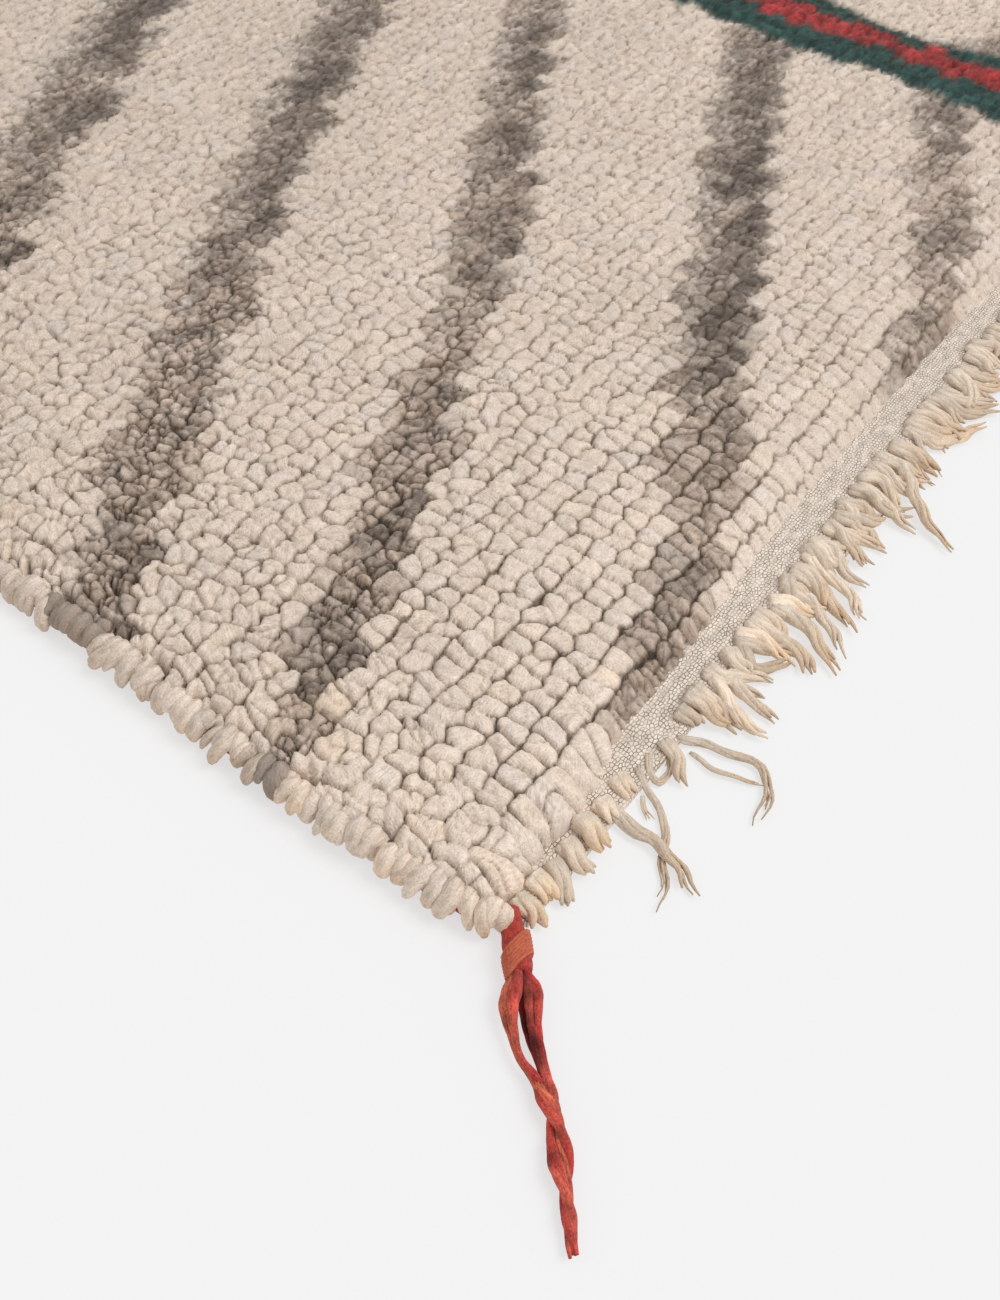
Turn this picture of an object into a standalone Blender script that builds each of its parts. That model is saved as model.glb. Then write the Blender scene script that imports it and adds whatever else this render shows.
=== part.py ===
# Azilal rug: a hand-knotted wool rug that lies flat, with flat-woven ends, a fringe
# along each end, a red cord along each side edge and one red tassel at a corner.
#
# Metres, +Z up.  The rug lies on the plane z = 0 with its length along Y and its
# width along X.  The origin is on its underside, at the middle.

import math

import bmesh
import bpy
from mathutils import Vector

# Driving dimensions
WIDTH = 1.50              # across the rug, over the pile of both side edges
WOVEN_LENGTH = 2.42       # between the outer edges of the two flat-woven ends
FRINGE_REACH = 0.045      # the longest strand of the fringe beyond a flat-woven end
PILE_TOP = 0.020          # height of the pile above the floor
FLATWEAVE = 0.004         # thickness of the flat-woven ends
FLATWEAVE_DEPTH = 0.020   # how far a flat-woven end shows before the pile starts
GAP = 0.0003              # left between pieces that touch

# Side edges
SIDE_CORD = 0.0054        # width and height of the cord along a side edge
CORD_CLEARANCE = 0.0004   # between the cord and the ground weave beside it
SIDE_REBATE = 0.0062      # how far the pile hangs out over the ground weave
REBATE_HEIGHT = 0.0060    # the pile's overhang starts at this height
SIDE_WAVE = 0.012         # a side edge wanders in and out by this much
CORNER_ROUNDING = 0.005   # a corner is drawn in by this much
CORNER_LENGTH = 0.012     # along the side edge, over about this length
STATION = 0.055           # distance between the cross-sections of rug and cord

# Fringe
TOOTH_PITCH = 0.0180
TOOTH_BASE = 0.0110
TOOTH_TIP = 0.0045
TOOTH_SWAY = 0.0030       # a strand's tip leans this far to either side
HEADER = 0.0030           # strip that the fringe's strands start from
FRINGE_THICKNESS = 0.0040
FRINGE_MARGIN = 0.012     # the comb ends this far in from the ground weave's edge

# Corner tassel, which lies on the floor and points away from the corner
CORD_START = 0.0060       # the side cord ends this far up from the corner, at the tassel
TASSEL_START = 0.0019     # the head's middle starts this far out from the side cord
TASSEL_ASIDE = 0.0010     # and this far out from its middle
TASSEL_HEAD_LENGTH = 0.024
TAIL_RADIUS = 0.0050
TAIL_POINT_SPACING = 0.010

NEAR_EDGE = -WOVEN_LENGTH / 2


def material(name, color, roughness):
    """A Principled material for one kind of yarn."""
    made = bpy.data.materials.new(name)
    made.use_nodes = True
    shader = made.node_tree.nodes["Principled BSDF"]
    shader.inputs["Base Color"].default_value = (*color, 1.0)
    shader.inputs["Roughness"].default_value = roughness
    shader.inputs["Metallic"].default_value = 0.0
    return made


def add_object(name, mesh, finish):
    """Link a mesh to the scene under its node's name."""
    mesh.materials.append(finish)
    made = bpy.data.objects.new(name, mesh)
    bpy.context.scene.collection.objects.link(made)
    return made


def mesh_from(name, corners, faces):
    """A closed mesh with its faces turned outwards."""
    shape = bmesh.new()
    made = [shape.verts.new(corner) for corner in corners]
    for face in faces:
        shape.faces.new([made[index] for index in face])
    bmesh.ops.recalc_face_normals(shape, faces=shape.faces)
    mesh = bpy.data.meshes.new(name)
    shape.to_mesh(mesh)
    shape.free()
    return mesh


def loft(name, sections):
    """Join closed sections, all with as many points, into one capped solid."""
    count = len(sections[0])
    corners = [point for section in sections for point in section]
    faces = []
    for index in range(len(sections) - 1):
        start = index * count
        for point in range(count):
            after = (point + 1) % count
            faces.append((start + point, start + after,
                          start + count + after, start + count + point))
    last = (len(sections) - 1) * count
    faces.append(tuple(range(count)))
    faces.append(tuple(range(last, last + count)))
    return mesh_from(name, corners, faces)


# The waves that the side edges wander in: share = share of SIDE_WAVE, length = one
# whole wave, start = where it starts, measured along the left edge from the near end
SIDE_WAVES = [
    {"share": 0.34, "length": 0.37, "start": 0.16},
    {"share": 0.20, "length": 0.95, "start": 0.30},
]
RIGHT_SHIFT = 0.23        # the right edge's waves lie this much further along


def side_inset(y, side):
    """How far a side edge lies inside the rug's full width at y."""
    wander = 0.5
    along = y - NEAR_EDGE - (RIGHT_SHIFT if side > 0 else 0.0)
    for wave in SIDE_WAVES:
        wander += wave["share"] * math.sin(2 * math.pi * (along - wave["start"]) / wave["length"])
    from_corner = (WOVEN_LENGTH / 2 - abs(y)) / CORNER_LENGTH
    corner = CORNER_ROUNDING * math.exp(-from_corner ** 2)
    return SIDE_WAVE * min(max(wander, 0.0), 1.0) + corner


def side_x(y, side):
    """The outermost place of the pile on a side edge: side is -1 or 1."""
    return side * (WIDTH / 2 - side_inset(y, side))


# The step from a flat-woven end up to the pile:
# run = distance in from the start of the pile, height = the pile's height there,
# overhang = share of the side rebate that the pile already hangs out over
PILE_STEP = [
    {"run": 0.0000, "height": 0.60 * PILE_TOP, "overhang": 0.02},
    {"run": 0.0025, "height": 0.86 * PILE_TOP, "overhang": 1.0},
    {"run": 0.0090, "height": PILE_TOP, "overhang": 1.0},
]
PILE_WALL = 0.0005        # the pile's wall leans by this much
PILE_START = NEAR_EDGE + FLATWEAVE_DEPTH


def body_stations():
    """The cross-sections of the rug along Y: place, pile height and pile overhang.

    A height of 0 stands for a flat-woven end."""
    near = [(y, 0.0, 0.0) for y in (NEAR_EDGE, NEAR_EDGE + CORD_START, PILE_START - PILE_WALL)]
    near += [(PILE_START + row["run"], row["height"], row["overhang"]) for row in PILE_STEP]
    start = near[-1][0]
    steps = round(-2 * start / STATION)
    middle = [(start - 2 * start * step / steps, PILE_TOP, 1.0) for step in range(1, steps)]
    far = [(-y, height, overhang) for y, height, overhang in reversed(near)]
    return near + middle + far


# Rug: pile and ground are one solid

# One half of a cross-section of the pile, from the underside outwards and up:
# inset = distance in from the side edge, height = height above the floor
PILE_SECTION = [
    {"inset": SIDE_REBATE, "height": 0.0},
    {"inset": SIDE_REBATE, "height": REBATE_HEIGHT},
    {"inset": 0.0, "height": REBATE_HEIGHT},
    {"inset": 0.0, "height": 0.60 * PILE_TOP},
    {"inset": 0.0020, "height": 0.84 * PILE_TOP},
    {"inset": 0.0090, "height": PILE_TOP},
]


def pile_section(y, top, overhang):
    """Cross-section of the pile at y, where it is top high."""
    half = {}
    for side in (-1, 1):
        edge = side_x(y, side)
        half[side] = []
        for row in PILE_SECTION:
            height = row["height"]
            if height > REBATE_HEIGHT:
                share = (height - REBATE_HEIGHT) / (PILE_TOP - REBATE_HEIGHT)
                height = REBATE_HEIGHT + share * (top - REBATE_HEIGHT)
            out = max(SIDE_REBATE - row["inset"], 0.0) * (1.0 - overhang)
            half[side].append((edge - side * (row["inset"] + out), y, height))
    return half[1] + half[-1][::-1]


def flatweave_section(y):
    """Cross-section of a flat-woven end at y."""
    half = {}
    last = len(PILE_SECTION) - 1
    for side in (-1, 1):
        wall = side_x(y, side) - side * SIDE_REBATE
        half[side] = [(wall, y, FLATWEAVE * step / last) for step in range(last)]
        half[side].append((wall - side * 0.001, y, FLATWEAVE))
    return half[1] + half[-1][::-1]


def make_rug(finish):
    sections = [pile_section(y, height, overhang) if height else flatweave_section(y)
                for y, height, overhang in body_stations()]
    return add_object("rug", loft("rug", sections), finish)


# Side cords: a red cord under the overhanging pile of each side edge

# Section of the cord: across = share of its width out from the ground weave,
# up = share of its height
CORD_SECTION = [
    {"across": 0.0, "up": 0.0},
    {"across": 0.8, "up": 0.0},
    {"across": 1.0, "up": 0.4},
    {"across": 0.8, "up": 1.0},
    {"across": 0.2, "up": 1.0},
    {"across": 0.0, "up": 0.6},
]


def make_side_cord(name, side, finish):
    sections = []
    stations = body_stations()
    if side < 0:
        stations = stations[1:]     # the tassel takes the place of its end
    for y, _height, _overhang in stations:
        wall = side_x(y, side) - side * (SIDE_REBATE - CORD_CLEARANCE)
        sections.append([(wall + side * row["across"] * SIDE_CORD, y, row["up"] * SIDE_CORD)
                         for row in CORD_SECTION])
    return add_object(name, loft(name, sections), finish)


# Fringes: each is one comb of strands along the edge of a flat-woven end

def tooth_reach(index):
    """Length of one strand: short curled ones between longer ones."""
    wave = 0.62 + 0.24 * math.sin(1.9 * index) + 0.14 * math.sin(5.3 * index + 1.0)
    return FRINGE_REACH * wave


def comb_mesh(name, inner, header, half, teeth):
    """A flat comb: a header strip along X with a strand at each tooth.

    Each tooth is (left, right, tip left, tip right, reach), the first four along X."""
    across = [-half]
    for left, right, _tip_left, _tip_right, _reach in teeth:
        across += [left, right]
    across.append(half)
    plan = [(x, inner) for x in across] + [(x, header) for x in across]
    row = len(across)
    cells = [(i, i + 1, row + i + 1, row + i) for i in range(row - 1)]
    edges = [(i, i + 1) for i in range(row - 1)] + [(0, row), (row - 1, 2 * row - 1)]
    edges += [(row + i, row + i + 1) for i in range(0, row - 1, 2)]
    for index, (_left, _right, tip_left, tip_right, reach) in enumerate(teeth):
        root = row + 1 + 2 * index
        tip = len(plan)
        plan += [(tip_left, reach), (tip_right, reach)]
        cells.append((root, root + 1, tip + 1, tip))
        edges += [(root, tip), (tip, tip + 1), (tip + 1, root + 1)]
    count = len(plan)
    corners = [(x, y, 0.0) for x, y in plan] + [(x, y, FRINGE_THICKNESS) for x, y in plan]
    faces = cells + [tuple(count + corner for corner in cell) for cell in cells]
    faces += [(a, b, count + b, count + a) for a, b in edges]
    return mesh_from(name, corners, faces)


def make_fringe(name, end, finish):
    """end is -1 for the near fringe and 1 for the far one."""
    inner = end * (WOVEN_LENGTH / 2 + GAP)
    header = inner + end * HEADER
    half = WIDTH / 2 - SIDE_REBATE - FRINGE_MARGIN
    steps = int((2 * half - TOOTH_BASE) / TOOTH_PITCH)
    teeth = []
    for index in range(steps + 1):
        middle = (index - steps / 2) * TOOTH_PITCH
        tip = middle + TOOTH_SWAY * math.sin(2.7 * index + end)
        teeth.append((middle - TOOTH_BASE / 2, middle + TOOTH_BASE / 2,
                      tip - TOOTH_TIP / 2, tip + TOOTH_TIP / 2,
                      inner + end * tooth_reach(index)))
    return add_object(name, comb_mesh(name, inner, header, half, teeth), finish)


# Corner tassel: a whipped head and a tail of loose twisted strands

# Route of the tail in plan and height, from the head outwards:
# out = distance from the corner along the tassel, side = sideways, up = height of
# its middle
TAIL_ROUTE = [
    {"out": 0.02454, "side": 0.0000, "up": 0.0060},
    {"out": 0.0290, "side": 0.0002, "up": 0.0059},
    {"out": 0.0400, "side": 0.0024, "up": 0.0056},
    {"out": 0.0510, "side": 0.0026, "up": 0.0054},
    {"out": 0.0610, "side": 0.0004, "up": 0.0054},
    {"out": 0.0730, "side": -0.0018, "up": 0.0054},
    {"out": 0.0870, "side": -0.0016, "up": 0.0054},
    {"out": 0.1190, "side": 0.0000, "up": 0.0054},
]

# Turned outline of the head: along = distance down it, radius = its radius there
HEAD_OUTLINE = [
    {"along": 0.0000, "radius": 0.0030},
    {"along": 0.0040, "radius": 0.0048},
    {"along": 0.0110, "radius": 0.0060},
    {"along": 0.0180, "radius": 0.0058},
    {"along": TASSEL_HEAD_LENGTH, "radius": 0.0046},
]
HEAD_SIDES = 12


def tassel_frame():
    """Where the tassel starts, and the directions along it and across it."""
    cord_end = NEAR_EDGE + CORD_START
    cord_middle = side_x(cord_end, -1) + SIDE_REBATE / 2
    start = Vector((cord_middle - TASSEL_ASIDE, cord_end - TASSEL_START, 0.0))
    along = Vector((-1.0, -1.0, 0.0)).normalized()
    across = Vector((along.y, -along.x, 0.0))
    return start, along, across


def make_tassel_head(finish):
    start, along, across = tassel_frame()
    up = Vector((0.0, 0.0, 1.0))
    middle = max(row["radius"] for row in HEAD_OUTLINE)
    sections = []
    for row in HEAD_OUTLINE:
        center = start + along * row["along"] + up * middle
        turns = [2 * math.pi * side / HEAD_SIDES for side in range(HEAD_SIDES)]
        sections.append([center + row["radius"] * (across * math.cos(turn) + up * math.sin(turn))
                         for turn in turns])
    return add_object("tassel_head", loft("tassel_head", sections), finish)


def smooth_route(points, spacing):
    """Points about spacing apart on a smooth curve through the given points."""
    ends = [2 * points[0] - points[1]] + points + [2 * points[-1] - points[-2]]
    route = []
    for index in range(1, len(ends) - 2):
        a, b, c, d = ends[index - 1:index + 3]
        steps = max(1, round((c - b).length / spacing))
        for step in range(steps):
            t = step / steps
            route.append(0.5 * (2 * b + (c - a) * t + (2 * a - 5 * b + 4 * c - d) * t ** 2
                                + (3 * b - a - 3 * c + d) * t ** 3))
    route.append(points[-1])
    return route


def make_tassel_tail(finish):
    start, along, across = tassel_frame()
    points = [start + along * row["out"] + across * row["side"] + Vector((0, 0, row["up"]))
              for row in TAIL_ROUTE]
    curve = bpy.data.curves.new("tassel_tail", "CURVE")
    curve.dimensions = "3D"
    curve.bevel_depth = TAIL_RADIUS
    curve.bevel_resolution = 2
    curve.use_fill_caps = True
    route = smooth_route(points, TAIL_POINT_SPACING)
    spline = curve.splines.new("POLY")
    spline.points.add(len(route) - 1)
    for target, point in zip(spline.points, route):
        target.co = (*point, 1.0)
    return add_object("tassel_tail", curve, finish)


for old in list(bpy.data.objects):
    bpy.data.objects.remove(old, do_unlink=True)

make_rug(material("cream_wool", (0.66, 0.58, 0.49), 0.95))
red_wool = material("red_wool", (0.52, 0.07, 0.06), 0.9)
fringe_wool = material("fringe_wool", (0.72, 0.58, 0.43), 0.95)
orange_wool = material("orange_wool", (0.52, 0.12, 0.06), 0.9)
crimson_wool = material("crimson_wool", (0.38, 0.03, 0.04), 0.9)
make_side_cord("side_cord_left", -1, red_wool)
make_side_cord("side_cord_right", 1, material("red_wool_right", (0.52, 0.07, 0.06), 0.9))
make_fringe("fringe_near", -1, fringe_wool)
make_fringe("fringe_far", 1, material("fringe_wool_far", (0.72, 0.58, 0.43), 0.95))
make_tassel_head(orange_wool)
make_tassel_tail(crimson_wool)
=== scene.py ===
import math

import bpy
import numpy as np
from mathutils import Matrix, Vector


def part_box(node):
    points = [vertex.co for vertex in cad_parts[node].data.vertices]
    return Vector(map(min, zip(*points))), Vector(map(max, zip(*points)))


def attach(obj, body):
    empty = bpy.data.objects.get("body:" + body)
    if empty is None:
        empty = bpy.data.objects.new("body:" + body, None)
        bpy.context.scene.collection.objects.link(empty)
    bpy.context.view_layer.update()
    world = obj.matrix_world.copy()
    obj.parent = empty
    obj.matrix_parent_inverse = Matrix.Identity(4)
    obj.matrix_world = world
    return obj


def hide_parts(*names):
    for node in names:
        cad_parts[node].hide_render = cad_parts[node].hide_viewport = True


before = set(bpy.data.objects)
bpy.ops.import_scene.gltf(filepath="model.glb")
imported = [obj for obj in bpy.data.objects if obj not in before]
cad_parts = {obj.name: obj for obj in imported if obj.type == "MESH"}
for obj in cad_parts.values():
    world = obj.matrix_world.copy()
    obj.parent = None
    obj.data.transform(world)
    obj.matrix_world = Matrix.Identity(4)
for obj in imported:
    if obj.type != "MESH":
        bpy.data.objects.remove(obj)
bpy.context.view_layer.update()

bpy.ops.object.select_all(action="DESELECT")

# Camera
# It stands just outside the corner that has the tassel, and looks down over that
# corner along the fringe.  The rest of the rug runs out of view.

rug_low, rug_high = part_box("rug")
CORNER = Vector((rug_low.x, rug_low.y, 0.0))
CAMERA_OUT = Vector((-0.234, -0.122, 0.457))     # from the corner to the camera
HEADING = math.radians(59.2)                     # from +Y towards +X
DOWNWARD = math.radians(47.95)
TILT = math.radians(6.4)                         # how far the camera leans to one side
SENSOR = 36.0                                    # millimetres, along the picture's long side
LENS = 38.9

ahead = Vector((math.sin(HEADING) * math.cos(DOWNWARD),
                math.cos(HEADING) * math.cos(DOWNWARD), -math.sin(DOWNWARD)))
level_right = ahead.cross(Vector((0, 0, 1))).normalized()
level_up = level_right.cross(ahead)
right = level_right * math.cos(TILT) + level_up * math.sin(TILT)
up = right.cross(ahead)
turn = Matrix((right, up, -ahead)).transposed()
bpy.ops.object.camera_add(location=CORNER + CAMERA_OUT, rotation=turn.to_euler())
camera = bpy.context.object
camera.data.sensor_fit = "AUTO"
camera.data.sensor_width = SENSOR
camera.data.lens = LENS
camera.data.clip_start = 0.01
bpy.context.scene.camera = camera

# Corner tassel, tail
# Loose crimson and orange strands of wool that come out of the whipped head, part
# round a small gap, and then twist together down to a cut point on the floor.

# Route of its middle: out = distance from the head's start, side = sideways towards
# the rug's side edge, up = height
TAIL_ROUTE = [
    {"out": 0.0245, "side": 0.0006, "up": 0.0060},
    {"out": 0.0290, "side": 0.0014, "up": 0.0062},
    {"out": 0.0340, "side": 0.0022, "up": 0.0060},
    {"out": 0.0420, "side": 0.0027, "up": 0.0056},
    {"out": 0.0510, "side": 0.0024, "up": 0.0052},
    {"out": 0.0610, "side": 0.0002, "up": 0.0048},
    {"out": 0.0730, "side": -0.0018, "up": 0.0045},
    {"out": 0.0870, "side": -0.0015, "up": 0.0043},
    {"out": 0.1000, "side": -0.0008, "up": 0.0040},
    {"out": 0.1190, "side": 0.0000, "up": 0.0036},
]
TASSEL_ALONG = Vector((-1.0, -1.0, 0.0)).normalized()
TASSEL_ACROSS = Vector((TASSEL_ALONG.y, -TASSEL_ALONG.x, 0.0))
TAIL_STEP = 0.0012        # spacing of the route's points

# The strands, in millimetres: side and up = places across the tail at each of the
# OPEN_PLACES along it, thick = radius there, bundle = which of the two twisted bundles it
# joins, short = how far before the tip it ends
OPEN_PLACES = (0.0, 0.006, 0.012, 0.020, 0.028, 0.036)
TAIL_STRANDS = [
    {"side": (4.6, 6.4, 6.1, 4.6, 3.8, 1.4), "up": (0.0, 0.2, -0.6, -0.9, -0.6, 0.0),
     "thick": (1.9, 2.0, 1.8, 1.2, 1.0, 2.2), "bundle": 0, "short": 0.0,
     "from": "orange", "to": "salmon"},
    {"side": (1.6, 3.1, 3.5, 3.5, 3.3, 1.0), "up": (1.8, 2.6, 2.2, 1.3, 0.6, 0.6),
     "thick": (2.2, 2.6, 2.1, 1.1, 0.9, 2.4), "bundle": 0, "short": 0.9,
     "from": "salmon", "to": "crimson"},
    {"side": (4.2, 6.1, 4.9, 4.0, 3.5, 1.2), "up": (1.2, 1.4, 1.6, 0.8, 0.4, 0.8),
     "thick": (1.5, 1.5, 1.2, 0.9, 0.8, 1.6), "bundle": 0, "short": 1.4,
     "from": "orange", "to": "orange"},
    {"side": (-0.6, -0.3, -0.5, -1.4, -2.6, -1.6), "up": (-0.6, -1.2, -1.6, -1.6, -1.2, -0.6),
     "thick": (1.6, 1.6, 1.5, 1.2, 1.2, 2.0), "bundle": 1, "short": 1.1,
     "from": "dark", "to": "crimson"},
    {"side": (-1.9, -2.6, -2.5, -2.7, -3.3, -2.0), "up": (1.2, 1.5, 0.9, 0.5, 0.6, 0.4),
     "thick": (1.7, 1.8, 1.6, 1.4, 1.4, 2.2), "bundle": 1, "short": 0.6,
     "from": "dark", "to": "salmon"},
    {"side": (-4.2, -6.1, -5.6, -4.7, -4.4, -2.2), "up": (0.4, 0.9, 0.6, 0.0, -0.2, 0.2),
     "thick": (2.0, 2.2, 1.9, 1.5, 1.4, 2.3), "bundle": 1, "short": 0.5,
     "from": "crimson", "to": "salmon"},
]
DYES = {
    "orange": (0.56, 0.135, 0.072),
    "salmon": (0.66, 0.120, 0.082),
    "crimson": (0.42, 0.030, 0.030),
    "dark": (0.10, 0.010, 0.010),
    "red": (0.48, 0.060, 0.045),
}
IN_WHIPPING = 0.006       # the strands start this far up inside the whipping
CLOSED_FROM = 0.034       # along the tail: the parted strands come together from here
CLOSED_AT = 0.045         # to here
TWIST_TURN = 0.060        # length of one turn of the two bundles
TWIST_START = 0.42        # share of a turn
TWIST_RADIUS = 0.0017
OWN_TURN = 0.031          # each strand winds about within its bundle in turns of this length
OWN_RADIUS = 0.0010
TIP_LENGTH = 0.012        # the strands thin out over this much before their tips
TIP_SHARE = 0.34          # to this share of their thickness
TAIL_POINTS = 90


def smoothstep(low, high, value):
    """0 below low, 1 above high, and a smooth rise between."""
    share = np.clip((np.asarray(value, float) - low) / (high - low), 0.0, 1.0)
    return share * share * (3 - 2 * share)


def smooth_route(points, spacing):
    """Points about spacing apart on a smooth curve through the given points."""
    points = [np.asarray(point, float) for point in points]
    ends = [2 * points[0] - points[1]] + points + [2 * points[-1] - points[-2]]
    route = []
    for index in range(1, len(ends) - 2):
        a, b, c, d = ends[index - 1:index + 3]
        steps = max(1, round(float(np.linalg.norm(c - b)) / spacing))
        for step in range(steps):
            t = step / steps
            route.append(0.5 * (2 * b + (c - a) * t + (2 * a - 5 * b + 4 * c - d) * t ** 2
                                + (3 * b - a - 3 * c + d) * t ** 3))
    route.append(points[-1])
    return np.array(route)


def unit(vectors):
    """The same vectors, each of length 1."""
    return vectors / np.maximum(np.linalg.norm(vectors, axis=-1, keepdims=True), 1e-12)


def ring_quads(rings, sides):
    """Faces between rings of so many points each, one ring after the other."""
    ring = np.arange(rings - 1)[:, None] * sides
    spot = np.arange(sides)
    after = (spot + 1) % sides
    quads = np.stack([ring + spot, ring + after, ring + sides + after, ring + sides + spot], -1)
    return quads.reshape(-1, 4)


def yarns(paths, radii, colors, sides=8, plies=0, twist=0.0, ply_depth=0.14, flat=1.0):
    """Strands of yarn along many paths at once, with closed ends.

    paths is strands x points x 3, radii strands x points, and colors strands x 3 or
    strands x points x 3.  plies lobes run round a strand, one turn in each length of
    twist, and flat is its thickness from above as a share of its width."""
    paths = np.asarray(paths, float)
    strands, count = paths.shape[:2]
    radii = np.broadcast_to(radii, (strands, count))
    forward = unit(np.gradient(paths, axis=1))
    side = np.cross(forward, (0.0, 0.0, 1.0))
    side[:, 0] = unit(side[:, 0] + (1e-9, 0.0, 0.0))
    for point in range(1, count):
        before = side[:, point - 1]
        lean = (before * forward[:, point]).sum(-1, keepdims=True)
        side[:, point] = unit(before - lean * forward[:, point])
    top = np.cross(side, forward)
    steps = np.linalg.norm(np.diff(paths, axis=1), axis=-1)
    along = np.concatenate([np.zeros((strands, 1)), np.cumsum(steps, axis=1)], axis=1)
    angle = np.linspace(0, 2 * math.pi, sides, endpoint=False)
    around = np.broadcast_to(angle, (strands, count, sides))
    swell = np.ones_like(around)
    if plies:
        phase = plies * (around - 2 * math.pi * along[:, :, None] / twist)
        swell = 1 - ply_depth + ply_depth * np.sqrt(np.abs(np.cos(phase / 2)))
    reach = radii[:, :, None] * swell
    rings = (paths[:, :, None]
             + (reach * np.cos(around))[..., None] * side[:, :, None]
             + (reach * np.sin(around) * flat)[..., None] * top[:, :, None])
    size = count * sides + 2
    points = np.concatenate([rings.reshape(strands, -1, 3), paths[:, :1], paths[:, -1:]], axis=1)
    quads = ring_quads(count, sides)[:, ::-1]
    spot = np.arange(sides)
    after = (spot + 1) % sides
    last = (count - 1) * sides
    caps = [np.stack([np.full(sides, size - 2), after, spot], -1),
            np.stack([np.full(sides, size - 1), last + spot, last + after], -1)]
    caps = np.concatenate(caps)[:, ::-1]
    shift = np.arange(strands)[:, None, None] * size
    girth = around * radii.mean()
    fibre = np.stack([np.broadcast_to(along[:, :, None], around.shape), girth], -1)
    fibre = np.concatenate([fibre.reshape(strands, -1, 2), np.zeros((strands, 2, 2))], axis=1)
    colors = np.asarray(colors, float)
    if colors.ndim == 2:
        colors = np.repeat(colors[:, None], count, axis=1)
    shade = 1 - 0.30 * np.clip((1 - swell) / ply_depth, 0, 1)
    color = (colors[:, :, None] * shade[..., None]).reshape(strands, -1, 3)
    color = np.concatenate([color, colors[:, :1], colors[:, -1:]], axis=1).reshape(-1, 3)
    return {"points": points.reshape(-1, 3), "quads": (quads + shift).reshape(-1, 4),
            "triangles": (caps + shift).reshape(-1, 3), "colors": color,
            "fibres": fibre.reshape(-1, 2)}


def joined_piece(name, parts, finish):
    """One object of all the parts, with their colours, how near a seam they are, and the
    way their fibres run."""
    start, points, colors, seams, fibres, quads, triangles = 0, [], [], [], [], [], []
    for part in parts:
        points.append(part["points"])
        colors.append(part["colors"])
        seams.append(part.get("seams", np.zeros(len(part["points"]))))
        fibres.append(part["fibres"])
        quads.append(part["quads"] + start)
        triangles.append(part.get("triangles", np.zeros((0, 3), int)) + start)
        start += len(part["points"])
    points, colors, seams, fibres = (np.concatenate(each)
                                     for each in (points, colors, seams, fibres))
    quads, triangles = np.concatenate(quads), np.concatenate(triangles)
    corners = np.concatenate([quads.ravel(), triangles.ravel()]).astype(np.int32)
    sizes = np.concatenate([np.full(len(quads), 4), np.full(len(triangles), 3)])
    starts = np.concatenate([[0], np.cumsum(sizes)[:-1]]).astype(np.int32)
    mesh = bpy.data.meshes.new(name)
    mesh.vertices.add(len(points))
    mesh.vertices.foreach_set("co", points.astype(np.float32).ravel())
    mesh.loops.add(len(corners))
    mesh.loops.foreach_set("vertex_index", corners)
    mesh.polygons.add(len(sizes))
    mesh.polygons.foreach_set("loop_start", starts)
    mesh.update(calc_edges=True)
    mesh.shade_smooth()
    layer = mesh.attributes.new("wool", "FLOAT_COLOR", "POINT")
    rgba = np.concatenate([colors, seams[:, None]], axis=1)
    layer.data.foreach_set("color", rgba.astype(np.float32).ravel())
    layer = mesh.uv_layers.new(name="fibre")
    if len(fibres) == len(points):
        fibres = fibres[corners]
    layer.uv.foreach_set("vector", fibres.astype(np.float32).ravel())
    mesh.validate()
    piece = bpy.data.objects.new(name, mesh)
    bpy.context.scene.collection.objects.link(piece)
    piece.data.materials.append(finish)
    return piece


def math_node(tree, operation, first, second):
    """The two values added, multiplied or the like."""
    node = tree.nodes.new("ShaderNodeMath")
    node.operation = operation
    tree.links.new(first, node.inputs[0])
    tree.links.new(second, node.inputs[1])
    return node.outputs["Value"]


def spread(tree, value, low, high, to_low, to_high):
    """The value with low moved to to_low and high to to_high."""
    node = tree.nodes.new("ShaderNodeMapRange")
    for socket, number in zip(list(node.inputs)[1:5], (low, high, to_low, to_high)):
        socket.default_value = number
    tree.links.new(value, node.inputs["Value"])
    return node.outputs["Result"]


def stretched(tree, place, scale):
    """The places scaled by their own number in each direction."""
    node = tree.nodes.new("ShaderNodeMapping")
    node.inputs["Scale"].default_value = scale
    tree.links.new(place, node.inputs["Vector"])
    return node.outputs["Vector"]


def noise(tree, place, scale, detail):
    """Soft random values, 0 to 1."""
    node = tree.nodes.new("ShaderNodeTexNoise")
    node.inputs["Scale"].default_value = scale
    node.inputs["Detail"].default_value = detail
    tree.links.new(place, node.inputs["Vector"])
    return node.outputs["Fac"]


def matt(name, specular, sheen):
    """A new matt material, its node tree and its shader."""
    made = bpy.data.materials.new(name)
    made.use_nodes = True
    shader = made.node_tree.nodes["Principled BSDF"]
    shader.inputs["Roughness"].default_value = 0.95
    shader.inputs["Specular IOR Level"].default_value = specular
    shader.inputs["Sheen Weight"].default_value = sheen
    shader.inputs["Sheen Roughness"].default_value = 0.5
    return made, made.node_tree, shader


def toned(tree, shader, tone, height, bump):
    """Give the shader fine bumps and a colour scaled by the tone.  Returns the socket
    that takes the colour."""
    scaled = tree.nodes.new("ShaderNodeVectorMath")
    scaled.operation = "SCALE"
    tree.links.new(tone, scaled.inputs["Scale"])
    tree.links.new(scaled.outputs["Vector"], shader.inputs["Base Color"])
    relief = tree.nodes.new("ShaderNodeBump")
    relief.inputs["Strength"].default_value = bump
    relief.inputs["Distance"].default_value = 0.0006
    tree.links.new(height, relief.inputs["Height"])
    tree.links.new(relief.outputs["Normal"], shader.inputs["Normal"])
    return scaled.inputs[0]


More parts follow.
